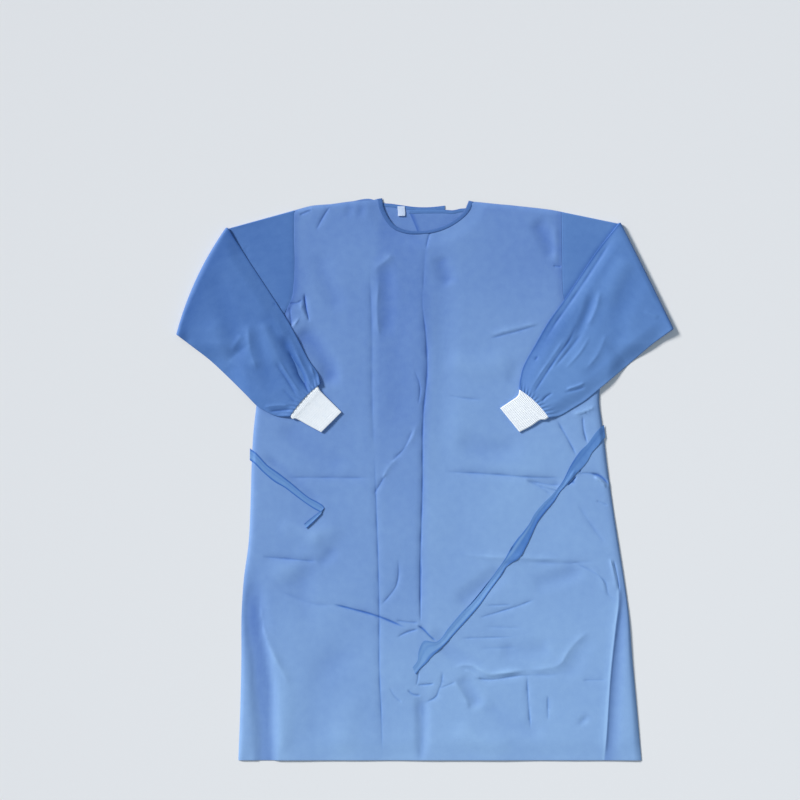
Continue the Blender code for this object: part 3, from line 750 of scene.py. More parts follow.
CUFF_LEFT = (
    # overarm x, overarm y, underarm x, underarm y, from the sleeve's end to the hand
    (-218.5, 191.0, -276.0, 132.5),
    (-215.0, 183.5, -271.5, 124.6),
    (-208.5, 176.0, -261.5, 123.6),
    (-191.1, 158.7, -238.8, 111.3),
    (-170.6, 138.4, -212.2, 97.0),
)
CUFF_RIGHT = (
    (192.5, 184.0, 253.6, 127.5),
    (192.4, 177.5, 246.5, 122.6),
    (188.5, 170.0, 235.5, 121.6),
    (172.8, 159.1, 217.3, 109.7),
    (153.8, 146.4, 193.5, 97.4),
)


def front_column(across, height):
    """Where a column of the front's grid crosses a height: it follows the creases."""
    stops = (0, NECK_START, LAP_PRINT, PLEAT, 1)
    lines = [edge_at(SIDE_EDGE, height, 1)]
    lines += [edge_at(CREASE_COLUMNS, height, number) for number in (1, 2, 3)]
    lines.append(edge_at(SIDE_EDGE, height, 2))
    x = lines[0].copy()
    for low, high, left, right in zip(stops, stops[1:], lines, lines[1:]):
        x += np.clip((across - low) / (high - low), 0, 1) * (right - left)
    return x


def front_plan(across, height):
    return panel_plan(across, height, front_column, FRONT_TOP_EDGE)


def under_sleeve(x, y, outline):
    """1 under a folded sleeve and its cuff, fading to 0 just beside them."""
    rim = [row[:2] for row in outline] + [row[2:] for row in reversed(outline)]
    rim.append(rim[0])
    inside = np.zeros(x.shape, bool)
    beside = np.full(x.shape, np.inf)
    for (x0, y0), (x1, y1) in zip(rim, rim[1:]):
        crosses = (y0 > y) != (y1 > y)
        slope = (x1 - x0) / (y1 - y0) if y1 != y0 else 0.0
        inside ^= crosses & (x < x0 + slope * (y - y0))
        beside = np.minimum(beside, from_chain(x, y, ((x0, y0), (x1, y1)))[0])
    return np.where(inside, 1.0, smooth(1 - beside / COVER_FADE))


def front_tone(x, y):
    """How light the front looks: lighter to the hem, which is painted light, and right of the lap's
    print.

    down is the share of the way from the shoulder to the hem.
    """
    down = np.clip((SHOULDER - y) / (SHOULDER - HEM), 0, 1)
    right = smooth((x - edge_at(RIGHT_BACK_EDGE, y, 1)) / TONE_BLEND)
    band = smooth((x - edge_at(CREASE_COLUMNS, y, 1)) / TONE_BLEND) * (1 - right)
    # painted light: lighter towards the hem
    tone = TOP_TONE + HEM_PALER * down ** HEM_BEND
    paler = RIGHT_PALER + RIGHT_MIDDLE_PALER * np.sin(math.pi * down) ** 0.8
    tone += right * paler * smooth((down - 0.06) / 0.2)
    tone += band * BAND_HEM_PALER * smooth((down - 0.7) / 0.3)
    tone -= band * BAND_DEEPER * (1 - smooth((down - 0.25) / 0.45))
    tone -= KNEE_DEEPER * np.exp(-((down - KNEE) / KNEE_WIDTH) ** 2)
    return tone + FRONT_CLOUD * waviness(x, y, FRONT_CLOUD_SIZE, 9.0)


def front_relief(x, y):
    """Height, tone and lines of painted shade of the front; the tone holds painted light and shade.
    """
    relief, line_shade, shade = crease_relief(x, y, CREASES)
    middle = edge_at(RIGHT_BACK_EDGE, y, 1)
    slow = waviness(x, y, SLOW_WAVE_SIZE, 4.0)
    level = FRONT_TOP + RIGHT_RISE * smooth((x - middle) / RIGHT_RISE_WIDTH) + relief
    level += SLOW_WAVE * slow + FINE_WAVE * waviness(x, y, FINE_WAVE_SIZE, 6.0)
    # painted light on the waves' rises and painted shade in their hollows
    shade += WAVE_SHADE * slow

    # the pleat: a lip that rises to its line, a drop, and the way back up, with a painted highlight
    # on the lip and painted shadow past the drop
    beside = x - edge_at(sorted(PLEAT_LINE), y, 1)
    full = smooth((PLEAT_START - y) / (PLEAT_START - PLEAT_FULL))
    lip = PLEAT_LIP * np.clip(1 + beside / PLEAT_LIP_HALF, 0, 1) ** 3
    drop = smooth(beside / PLEAT_DROP_WIDTH) * (PLEAT_LIP + PLEAT_DROP)
    back = smooth((beside - PLEAT_DROP_WIDTH) / PLEAT_BACK) * (PLEAT_DROP + PLEAT_REST)
    level += full * (np.where(beside < 0, lip, PLEAT_LIP - drop) + back)
    shade += full * PLEAT_LIGHT * np.exp(-((beside + 1.5) / 2.5) ** 2)
    shade -= full * PLEAT_SHADE * smooth((beside + 1) / 3) * smooth(
        (PLEAT_SHADE_WIDTH - beside) / (PLEAT_SHADE_WIDTH - 2))

    # rounded edges at the neck, sides, shoulders and hem
    level -= NECK_FALL * smooth(1 - from_chain(x, y, NECK_FRONT)[0] / NECK_FALL_REACH)
    to_side = np.minimum(x - edge_at(SIDE_EDGE, y, 1), edge_at(SIDE_EDGE, y, 2) - x)
    side = np.maximum(roll(to_side / EDGE_ROLL), smooth((y - ARMPIT) / (CHEST - ARMPIT)))
    below = np.interp(x, *np.transpose(SHOULDER_LEFT + SHOULDER_RIGHT)) - y
    shoulder = roll((below + 1) / SHOULDER_ROLL)
    level = EDGE_TOP + (level - EDGE_TOP) * np.minimum(side, shoulder)
    at_hem = 1 - smooth((y - HEM) / HEM_ROLL)
    at_most = HEM_TOP + HEM_WAVE * np.sin(x / HEM_WAVE_LENGTH)
    at_most += HEM_RIPPLE * np.sin(x / HEM_RIPPLE_LENGTH + 1)
    level += (np.minimum(level, at_most) - level) * at_hem

    # pressed down under the sleeves and at the armhole seams, with shade painted under the sleeves,
    # at the seams and by the left armpit
    for outline in (SLEEVE_LEFT + CUFF_LEFT, SLEEVE_RIGHT + CUFF_RIGHT):
        covered = under_sleeve(x, y, outline)
        level += (np.minimum(level, COVER_LEVEL) - level) * covered
        shade -= COVER_SHADE * covered
    at_seam = smooth((y - ARMPIT) / SEAM_START) * (1 - smooth(to_side / SEAM_BLEND))
    level += (np.minimum(level, SEAM_LEVEL) - level) * at_seam
    shade -= SEAM_SHADE * at_seam
    up = y - ARMPIT
    near_armpit = smooth(up / 20) * smooth((ARMPIT_HEIGHT - up) / 90) * (x < middle)
    shade -= ARMPIT_SHADE * near_armpit * (1 - smooth(to_side / ARMPIT_REACH))
    over_lap = (x > middle - LAP_SIDE) & (x < LEFT_BACK_EDGE[-1][1] + LAP_SIDE)
    lowest = np.where(over_lap, LAP_TOP, EDGE_TOP)
    return np.maximum(level, lowest), front_tone(x, y) + shade, line_shade


def roll(share):
    """Rounded edge: 0 at its rim, 1 from share 1."""
    share = np.clip(share, 0, 1)
    return np.sqrt(1 - (1 - share) ** 2)


def refine(bm, creases, reach, least):
    """Splits the edges near sharp creases, so that they stay crisp."""
    middles = np.array([(edge.verts[0].co + edge.verts[1].co) / 2 for edge in bm.edges])
    near = np.zeros(len(middles), bool)
    for sharp, _, _, line_strength, points in creases:
        if sharp and line_strength >= least:
            away, _, _ = from_chain(middles[:, 0], middles[:, 1], points)
            near |= away < reach
    bm.edges.ensure_lookup_table()
    edges = [bm.edges[i] for i in np.flatnonzero(near)]
    bmesh.ops.subdivide_edges(bm, edges=edges, cuts=1, use_grid_fill=True)


front_plan_mesh = laid_grid(FRONT_COLUMNS, FRONT_ROWS, front_plan)
pleat = (True, 0, 0, 1.0, [(x, y) for y, x in PLEAT_LINE])
for reach, least in REFINE_REACH:
    refine(front_plan_mesh, CREASES + (pleat,), reach, least)
front = cloth_piece("front_cloth", front_plan_mesh, front_relief, gown_cloth)
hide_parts("front")


# Neck bindings
# Strips of the deeper blue nonwoven, folded over the raw neckline and stitched
# through. One runs round the front neckline and one along each back panel.
BINDING_DEEP = (0.040, 0.112, 0.330)
BINDING_LIGHT = (0.100, 0.225, 0.520)
BINDING_SIDE = 9.0
BINDING_MIDDLE = 4.6
BINDING_LAP = 1.2
BINDING_CROWN = 0.4
BINDING_LIFT = 0.7
BINDING_TILT = 0.5
BINDING_WALL = 0.5
BINDING_LENGTH = 270.0
BINDING_WIDTH = 10.0
BINDING_TONE = 0.22
PUCKER = 0.10
PUCKERS = 420.0
END_SHARE = 0.06
END_FALL = 1.2
BACK_TAPE = 0.25
BACK_TAPE_WIDTH = 9.0
BACK_TAPE_TONE = 0.85
BACK_RIM = 0.9
BACK_PUCKER = 0.08
BACK_PUCKERS = 260.0
BINDING_COLUMNS = 96
BINDING_ROWS = 9
NECK_CENTRE = (2.0, 590.0)
STITCH_LENGTH = 2.6
STITCH_PITCH = 4.0
STITCH_ROW = 2
THREAD = 0.35
THREAD_LIFT = 0.05

binding_cloth = nonwoven("binding nonwoven", BINDING_DEEP, BINDING_LIGHT)


def woven_from(name, lattice, finish, wall, closed=False):
    """Cloth through a lattice whose points hold x, y, height, tone, painted shade line, u and v.

    Its first points lie on an upper side, so there its faces are turned up.
    """
    rows, columns = lattice.shape[:2]
    bm = bmesh.new()
    bmesh.ops.create_grid(bm, x_segments=columns - 1, y_segments=rows - 1, size=0.5)
    tone = bm.verts.layers.float.new("tone")
    line_shade = bm.verts.layers.float.new("line_shade")
    cloth = bm.loops.layers.uv.new("cloth")
    for point in bm.verts:
        column = round((point.co.x + 0.5) * (columns - 1))
        row = round((point.co.y + 0.5) * (rows - 1))
        x, y, height, shade, line_strength, across, down = lattice[row, column]
        point.co = (x * MM, y * MM, height * MM)
        point[tone] = shade
        point[line_shade] = line_strength
        for corner in point.link_loops:
            corner[cloth].uv = (across * MM, down * MM)
    if closed:
        bmesh.ops.remove_doubles(bm, verts=bm.verts, dist=1e-6)
    round_it = lattice[0, 2, :3] - lattice[0, 1, :3]
    down_it = lattice[1, 1, :3] - lattice[0, 1, :3]
    if np.cross(round_it, down_it)[2] < 0:
        bmesh.ops.reverse_faces(bm, faces=bm.faces)
    return hang(name, mesh_of(name, bm), finish, wall)


def grid_of(columns, rows):
    """Shares across and down for every point of a lattice."""
    return np.meshgrid(np.linspace(0, 1, columns), np.linspace(0, 1, rows))


def lattice_of(x, y, height, tone, line_shade, across, down):
    fields = np.broadcast_arrays(x, y, height, tone, line_shade, across, down)
    return np.stack(fields, axis=-1)


def stitches(name, x, y, height):
    """A row of short stitches just above a chain of points."""
    chain = np.stack((x, y, height + THREAD_LIFT), axis=1)
    run = run_of(np.linalg.norm(np.diff(chain, axis=0), axis=1))
    bm = bmesh.new()
    for start in np.arange(STITCH_PITCH / 2, run[-1] - STITCH_LENGTH, STITCH_PITCH):
        ends = [Vector([np.interp(where, run, chain[:, i]) for i in range(3)])
                for where in (start, start + STITCH_LENGTH)]
        made = bmesh.ops.create_uvsphere(bm, u_segments=6, v_segments=4, radius=0.5)
        turn = (ends[1] - ends[0]).to_track_quat("Z", "Y").to_matrix()
        for point in made["verts"]:
            size = Vector((THREAD, THREAD, STITCH_LENGTH))
            point.co = (turn @ (point.co * size) + (ends[0] + ends[1]) / 2) * MM
    # a fixed order, because the sphere operator's order changes from run to run
    in_order = sorted(bm.faces, key=lambda face: face.calc_center_median()[:])
    for number, face in enumerate(in_order):
        face.index = number
    bm.faces.sort()
    piece = hang(name, mesh_of(name, bm), thread.material)
    return piece


thread = Finish("blue thread")
twist = thread.noise(thread.add("TexCoord").outputs["Object"], 0.4)
thread.look(thread.shader, Base_Color=(0.10, 0.20, 0.46, 1.0), Roughness=0.7,
            Normal=thread.bump(twist, 0.05))

share, band = grid_of(BINDING_COLUMNS, BINDING_ROWS)
edge_x, edge_y = along(NECK_FRONT, share)
inward_x, inward_y = NECK_CENTRE[0] - edge_x, NECK_CENTRE[1] - edge_y
reach = np.hypot(inward_x, inward_y)
deep = BINDING_MIDDLE + (BINDING_SIDE - BINDING_MIDDLE) * np.abs(2 * share - 1)
inset = band * (deep + BINDING_LAP) - BINDING_LAP
x, y = edge_x + inward_x / reach * inset, edge_y + inward_y / reach * inset
fall = END_FALL * smooth((END_SHARE - np.minimum(share, 1 - share)) / END_SHARE)
top = FRONT_TOP - NECK_FALL + RIGHT_RISE * smooth(edge_x / RIGHT_RISE_WIDTH) + BINDING_LIFT - fall
top += BINDING_CROWN * np.sqrt(1 - (2 * band - 1) ** 2) - BINDING_TILT * band
middle = np.sin(math.pi * band)
binding_front = woven_from("binding_front_strip", lattice_of(
    x, y, top + PUCKER * np.sin(share * PUCKERS) * middle, BINDING_TONE + 0.15 * middle, 0.0,
    share * BINDING_LENGTH, band * BINDING_WIDTH), binding_cloth, BINDING_WALL)
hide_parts("binding_front")
binding_stitches = stitches("binding_stitches", x[STITCH_ROW], y[STITCH_ROW],
                            top[STITCH_ROW])


def back_binding(name, points, rise, shown):
    """A binding along a back neckline, with a line of painted shade along its rim where it is
    shown.
    """
    share, band = grid_of(BINDING_COLUMNS // 2, BINDING_ROWS)
    edge_x, edge_y = along(points, share)
    height = BACK_LOW + CLOTH + BACK_TAPE + rise(edge_x)
    height = height + 0.7 * BINDING_CROWN * np.sqrt(1 - (2 * band - 1) ** 2)
    height -= BACK_TAPE * (1 - band) ** 3
    height += BACK_PUCKER * np.sin(share * BACK_PUCKERS) * np.sin(math.pi * band)
    y = edge_y - BACK_BINDING * (1 - band)
    # painted shade along the rim
    rim = BACK_RIM * smooth((band - 0.7) / 0.3) * shown(edge_x)
    piece = woven_from(name + "_strip", lattice_of(
        edge_x, y, height, BACK_TAPE_TONE, rim, share * BINDING_LENGTH / 2,
        band * BACK_TAPE_WIDTH), binding_cloth, BINDING_WALL)
    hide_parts(name)
    sewn = stitches(name + "_stitches", edge_x[STITCH_ROW], y[STITCH_ROW],
                    height[STITCH_ROW])


back_binding("binding_back_left", NECK_BACK_LEFT, no_rise, lambda x: 1.0)
back_binding("binding_back_right", NECK_BACK_RIGHT, lap_rise,
             lambda x: smooth((x - LEFT_BACK_EDGE[-1][1]) / 5))


# Neck label
# A small blank label of white satin tape, sewn by its top edge inside the back
# neckline.
LABEL = (-55.5, -40.6, 540.0, 560.0)
LABEL_TOP = 1.9
LABEL_SIZE = (15, 20)
LABEL_BEND = 0.5
LABEL_CURL = 0.8
LABEL_WALL = 0.4
LABEL_RIB = 4.0

share, up = grid_of(13, 17)
left, right, low, high = LABEL
satin = Finish("white satin tape")
satin_uv = satin.add("UVMap", uv_map="cloth").outputs[0]
ribs = satin.add("TexWave", bands_direction="Y", Vector=satin_uv,
                 Scale=1 / (LABEL_RIB * MM), Distortion=0.6, Detail=1.0)
fade = satin.add("Mix", data_type="RGBA", Factor=satin.noise(satin_uv, 4.0),
                 A=(0.48, 0.58, 0.80, 1.0), B=(0.70, 0.78, 0.90, 1.0))
satin.look(satin.shader, Base_Color=fade.outputs["Result"], Roughness=0.42,
           Normal=satin.bump(ribs.outputs["Fac"], 0.04))
neck_label = woven_from("neck_label_tape", lattice_of(
    left + (right - left) * share + LABEL_BEND * np.sin(up * 5), low + (high - low) * up,
    LABEL_TOP + LABEL_BEND * np.sin(math.pi * share) * (1 - up) + LABEL_CURL * (1 - up) ** 2,
    0.5, 0.0, share * LABEL_SIZE[0], up * LABEL_SIZE[1]), satin.material, LABEL_WALL)
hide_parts("neck_label")


# Sleeves
# Each sleeve is a tube of a deeper blue nonwoven, sewn into the armhole, laid out
# flat and folded back over the front, so that its back half faces up.
SLEEVE_HALF = 2.5
TURN_RADIUS = 2.8
SEAM_GAP = 0.05
SEAM_SINK = 0.3
THIN_REACH = 34.0
THIN_EDGE = 0.72
SAG_START = 8.0
SAG_REACH = 45.0
SLEEVE_RIM = 9.0
GATHER = 0.45
GATHERS = 74.0
GATHER_ROWS = 1.5
GATHER_WANDER = 1.6
SLEEVE_PUFF = 1.1
SLEEVE_WAVE = 0.8
SLEEVE_WAVE_SIZE = 95.0
SMALL_WAVE = 0.25
SMALL_WAVE_SIZE = 34.0
FIRST_LENGTH = 115.0
FIRST_FOLDS = 0.5
FIRST_WAVE = 0.25
FIRST_SINK = 0.2
BULGE_ROWS = 5
END_BOW = 4.5
BOW_ROWS = 1.5
PALER_FROM = 420
PALER_HEIGHT = 260
FOLD_DEEPER_ROWS = 14
RIM_WIDTH = 2.6
WRIST_WIDTH = 42.0
WRIST_FROM = 370
WRIST_HEIGHT = 90
BESIDE_WIDTH = 7.0
ACROSS_STEPS = 88
FIRST_ROWS = 42
TURN_STEPS = 9
FOLDED_ROWS = 126
EDGE_TURN = 7
# what differs between the left sleeve, -1, and the right one, 1
FOLD_BULGE = {-1: 11.0, 1: 0.5}
SLEEVE_TONE = {-1: 0.31, 1: 0.48}
SLEEVE_PALER = {-1: 0.08, 1: 0.36}
# painted shade: near the fold, along the folded edge, towards the wrist, and on the layer beside
# the folded edge
FOLD_DEEPER = {-1: 0.16, 1: 0.0}
RIM_DEEPER = {-1: 0.15, 1: 0.55}
WRIST_DEEPER = {-1: 0.0, 1: 0.42}
BESIDE_DEEPER = {-1: 0.0, 1: 0.34}
SLEEVE_LEFT_CREASES = (
    # long soft folds that gather towards the cuff
    dip(-0.8, 18, -330, 350, -288, 262, -262, 216, -244, 176),
    dip(-0.9, 13, -292, 296, -266, 244, -242, 194),
    ridge(0.8, 9, -268, 268, -246, 224, -230, 184),
    fold(-0.9, 9, 0.35, -282, 268, -260, 228, -240, 186),
    fold(-0.7, 8, 0.4, -262, 226, -248, 200, -236, 172),
    ridge(0.7, 8, -300, 246, -276, 208, -252, 172),
    fold(-0.7, 9, 0.25, -306, 240, -282, 204, -258, 164),
    fold(-0.5, 9, 0.2, -292, 186, -274, 168, -262, 154),
    ridge(1.8, 10, -262, 300, -240, 252, -224, 206),
    dip(-1.5, 16, -296, 300, -272, 252, -246, 200, -232, 178),
    dip(0.4, 24, -366, 330, -352, 270, -330, 220),
    fold(-0.7, 8, 0.3, -258, 300, -243, 262, -232, 222),
    # broad folds over the elbow
    ridge(1, 26, -362, 322, -357, 263, -342, 222),
    ridge(0.8, 16, -372, 298, -384, 282, -396, 262),
    dip(-0.6, 34, -436, 430, -404, 330, -372, 220),
    dip(-0.6, 26, -352, 310, -332, 234, -300, 176),
    dip(0.9, 26, -330, 330, -310, 270, -296, 230),
    dip(0.8, 34, -440, 330, -420, 290, -396, 220),
    fold(-0.9, 12, 0.3, -322, 138, -300, 141, -272, 143),
    ridge(0.7, 12, -330, 148, -300, 152, -276, 152),
    # small crease beside the fold line
    fold(-0.8, 8, 0.6, -364, 480, -367, 466, -359, 452),
    fold(-0.6, 8, 0.9, -312, 361, -301, 358, -290, 352),
)
SLEEVE_RIGHT_CREASES = (
    # long soft folds that gather towards the cuff
    dip(-1.1, 16, 348, 392, 330, 336, 306, 286, 286, 240),
    fold(-0.6, 8, 0.6, 310, 320, 298, 290, 270, 250, 242, 208, 218, 170),
    ridge(0.5, 9, 288, 292, 262, 254, 234, 214, 214, 182),
    fold(-0.6, 9, 0.2, 322, 300, 292, 262, 262, 226),
    ridge(0.6, 10, 338, 296, 318, 262, 286, 226),
    fold(-0.7, 8, 0.3, 262, 178, 249, 170, 238, 158),
    ridge(1, 8, 288, 184, 306, 190, 328, 198),
    fold(-0.6, 9, 0.2, 284, 178, 304, 182, 330, 190),
    fold(-0.7, 8, 0.6, 230, 252, 226, 244),
    fold(-0.8, 9, 0.3, 388, 502, 344, 432, 299, 365, 266, 318, 240, 275),
    # broad folds over the elbow
    ridge(0.8, 18, 358, 392, 350, 352, 330, 310),
    ridge(0.6, 16, 372, 300, 352, 255, 326, 222),
    dip(-0.6, 32, 446, 440, 404, 350, 366, 250),
    dip(0.8, 28, 420, 460, 384, 400, 366, 350),
    dip(-0.6, 26, 420, 320, 370, 250, 320, 196),
    ridge(0.6, 9, 448, 345, 478, 330),
)
SLEEVE_DEEP = (0.037, 0.124, 0.390)
SLEEVE_LIGHT = (0.165, 0.325, 0.645)
sleeve_cloth = nonwoven("sleeve nonwoven", SLEEVE_DEEP, SLEEVE_LIGHT)


def flat_ring(width, half, steps):
    """Points round a flattened tube: across, height from its middle, and girth."""
    reach = half + np.linspace(0, 1, steps + 1) * (width - 2 * half)
    angles = np.linspace(0, math.pi, EDGE_TURN + 2)[1:-1]
    across = np.concatenate((reach, width - half + half * np.sin(angles), reach[::-1],
                             half - half * np.sin(angles), reach[:1]))
    height = np.concatenate((np.full(steps + 1, half), half * np.cos(angles),
                             np.full(steps + 1, -half), -half * np.cos(angles), [half]))
    return across, height, run_of(np.hypot(np.diff(across), np.diff(height)))


def arch(share):
    """0 at both ends, and 1 halfway."""
    return 4 * share * (1 - share)


def section(table, row, side):
    """A row of a sleeve's or cuff's table: both edges, width and the way to the hand."""
    spots = [bend_through(range(len(table)), column_of(table, i), row) for i in range(4)]
    near, far = np.array(spots[:2]), np.array(spots[2:])
    width = math.dist(near, far)
    forward = np.array(((far - near)[1], -(far - near)[0])) / width
    return near, far, width, forward * np.sign(np.dot(forward, (-side, -1.0)))


def armhole(across):
    """The armhole's seam on the body, from the shoulder down to the armpit."""
    heights = np.linspace(SHOULDER, ARMPIT, 40)
    return np.stack(front_plan(np.full_like(heights, across), heights), axis=1)


def sleeve_rings(side, table):
    """Rings of a sleeve: from the armhole outwards, round its fold and back to the wrist.

    Each holds places, heights, girth, length so far, height in the flat section,
    shares across and width.
    """
    seam = armhole(0.0 if side < 0 else 1.0) + (side * SEAM_GAP, 0.0)
    seam_length = np.hypot(*np.diff(seam, axis=0).T).sum()
    over, under = np.array(table[0][:2]), np.array(table[0][2:])
    fold_width = math.dist(over, under)
    run = (under - over) / fold_width
    outward = np.array((side * abs(run[1]), abs(run[0])))
    reach = TURN_RADIUS + SLEEVE_HALF

    def between(start, end, share):
        return start + (end - start) * share[:, None]

    def bulge(share):
        return outward * (FOLD_BULGE[side] * arch(share) - reach)[:, None]

    def fold_line(share):
        return between(over, under, share) + bulge(share)

    rings = []
    length = 0.0
    for part in np.linspace(0, 1, FIRST_ROWS + 1)[:-1]:
        width = seam_length * (1 - part) + fold_width * part
        across, height, girth = flat_ring(width, SLEEVE_HALF, ACROSS_STEPS)
        share = across / width
        start = np.stack(along(seam, share), axis=1)
        place = start + (fold_line(share) - start) * part
        sunk = SEAM_SINK * smooth(1 - part * FIRST_ROWS / 2.5) * (height > 0)
        rings.append((place, SLEEVE_HALF + height - sunk, girth, length, height, share, width))
        length += FIRST_LENGTH / FIRST_ROWS
    for angle in np.linspace(0, math.pi, TURN_STEPS):
        across, height, girth = flat_ring(fold_width, SLEEVE_HALF, ACROSS_STEPS)
        share = across / fold_width
        radius = TURN_RADIUS - height
        place = fold_line(share) + outward * (radius * math.sin(angle))[:, None]
        lift = SLEEVE_HALF + TURN_RADIUS - radius * math.cos(angle)
        rings.append((place, lift, girth, length, 0 * height, share, fold_width))
        length += math.pi * TURN_RADIUS / TURN_STEPS
    last = len(table) - 1
    for row in np.linspace(0, last, FOLDED_ROWS + 1)[1:]:
        near, far, width, forward = section(table, row, side)
        across, height, girth = flat_ring(width, SLEEVE_HALF, ACROSS_STEPS)
        share = across / width
        bow = END_BOW * smooth((row - last + BOW_ROWS) / BOW_ROWS) * arch(share)
        place = between(near, far, share) + bulge(share) * max(0.0, 1 - row / BULGE_ROWS) ** 2
        place -= forward * bow[:, None]
        edge = edge_at(SIDE_EDGE, place[:, 1], 1 if side < 0 else 2)
        beside = side * (place[:, 0] - edge)
        below = seam[-1, 1] - place[:, 1]
        sag = 2 * TURN_RADIUS * smooth((np.minimum(beside, below) - SAG_START) / SAG_REACH)
        lift = SLEEVE_HALF + 2 * TURN_RADIUS - height - sag
        inward = np.minimum(share, 1 - share) * width
        thin = THIN_EDGE * (1 - smooth(inward / THIN_REACH))
        thin *= smooth(row / 0.8) * smooth((last - row) / 1.1)
        lift -= thin * (SLEEVE_HALF - height)
        rings.append((place, lift, girth, length, -height, share, width))
        length += math.hypot(*(np.mean(place, axis=0) - np.mean(rings[-2][0], axis=0)))
    return rings


def sleeve(name, side, table, creases):
    """One sleeve, with the relief and gathers of its cloth, and the light and shade painted into
    its colour.
    """
    rings = sleeve_rings(side, table)
    place, lift, girth, down, height, share, width = map(np.array, zip(*rings))
    x, y = np.moveaxis(place, 2, 0).copy()
    from_fold = (np.arange(len(rings)) - FIRST_ROWS - TURN_STEPS)[:, None]
    folded = from_fold >= 0
    shown = folded * (height > 0)
    rim = smooth(np.minimum(share, 1 - share) * width[:, None] / SLEEVE_RIM)
    upper = shown * rim
    relief, line_shade, shade = crease_relief(x, y, creases)
    waves = waviness(x, y, SLEEVE_WAVE_SIZE, 11.0 + side)
    puff = SLEEVE_PUFF * np.sin(math.pi * np.clip(share, 0, 1))
    last = len(table) - 1
    to_cuff = last - last * (from_fold + 1) / FOLDED_ROWS
    relief += GATHER * smooth(1 - to_cuff / GATHER_ROWS) * np.sin(
        GATHERS * share + GATHER_WANDER * np.sin(9 * share + y / 17))
    lift += upper * (relief + puff + SLEEVE_WAVE * waves
                     + SMALL_WAVE * waviness(x, y, SMALL_WAVE_SIZE, 15.0 + side))
    lift += ~folded * (height > 0) * rim * (
        FIRST_FOLDS * np.minimum(relief, 0) + FIRST_WAVE * waves - FIRST_SINK)

    beside = from_chain(x, y, [row[:2] for row in table])[0]

    def near_edge(reach):
        return np.exp(-(beside / reach) ** 2)

    # the creases' painted light and shade on the folded layer
    tone = SLEEVE_TONE[side] + TONE_CLOUD * waves + shade * upper
    tone += SLEEVE_PALER[side] * smooth((PALER_FROM - y) / PALER_HEIGHT) * folded
    # painted shade near the fold, along the folded edge, towards the wrist, and cast by the folded
    # part on the layer below
    tone -= FOLD_DEEPER[side] * (1 - smooth(from_fold / FOLD_DEEPER_ROWS)) * folded
    tone -= RIM_DEEPER[side] * near_edge(RIM_WIDTH) * shown
    at_wrist = smooth((WRIST_FROM - y) / WRIST_HEIGHT) * near_edge(WRIST_WIDTH)
    tone -= WRIST_DEEPER[side] * at_wrist * shown
    tone -= BESIDE_DEEPER[side] * near_edge(BESIDE_WIDTH) * ~folded
    piece = woven_from(name + "_cloth", lattice_of(
        x, y, lift, tone, line_shade * upper, girth, down[:, None]),
        sleeve_cloth, CLOTH, closed=True)
    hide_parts(name)
    over_side = slice(0, ACROSS_STEPS + 1)
    shown_side = slice(ACROSS_STEPS + EDGE_TURN + 1, 2 * ACROSS_STEPS + EDGE_TURN + 2)
    sewn = [stitches(f"{name}_{end}_stitches", x[row, part], y[row, part], lift[row, part])
            for end, row, part in (("armhole", 1, over_side), ("cuff", -3, shown_side))]


sleeve("sleeve_left", -1, SLEEVE_LEFT, SLEEVE_LEFT_CREASES)
sleeve("sleeve_right", 1, SLEEVE_RIGHT, SLEEVE_RIGHT_CREASES)


# Knit cuffs
# Tubes of white rib knit, sewn to the gathered ends of the sleeves. They lie flat
# and draw in towards the hand.
CUFF_HALF = 2.4
CUFF_HAND_HALF = 1.4
CUFF_THIN_FROM = 0.6
CUFF_SINK = 1.0
CUFF_SINK_FROM = 0.4
CUFF_WALL = 0.9
CUFF_TUCK = 3.0
CUFF_TUCK_HALF = 1.7
CUFF_TUCK_ROWS = 0.35
CUFF_SWELL_ROWS = 0.45
CUFF_BOW_ROWS = 1.2
CUFF_ROWS = 44
CUFF_STEPS = 132
CUFF_PITCH = 2.5
CUFF_RIB = 0.28
CUFF_LENGTH = 60.0
CUFF_EASE = 0.35
LOOP_ROW = 7.0
knit = Finish("white rib knit")
knit_uv = knit.add("UVMap", uv_map="cloth").outputs[0]
loops = knit.add("TexWave", bands_direction="Y", Vector=knit_uv,
                 Scale=1 / (LOOP_ROW * MM), Distortion=1.2, Detail=1.0)
shade = knit.add("Mix", data_type="RGBA", Factor=knit.noise(knit_uv, 9.0),
                 A=(0.86, 0.89, 0.92, 1.0), B=(0.97, 0.97, 0.96, 1.0))
fuzz = knit.bump(knit.noise(knit_uv, 0.5), 0.08)
knit.look(knit.shader, Base_Color=shade.outputs["Result"], Roughness=0.88,
          Sheen_Weight=0.25, Normal=knit.bump(loops.outputs["Fac"], 0.12, Normal=fuzz))


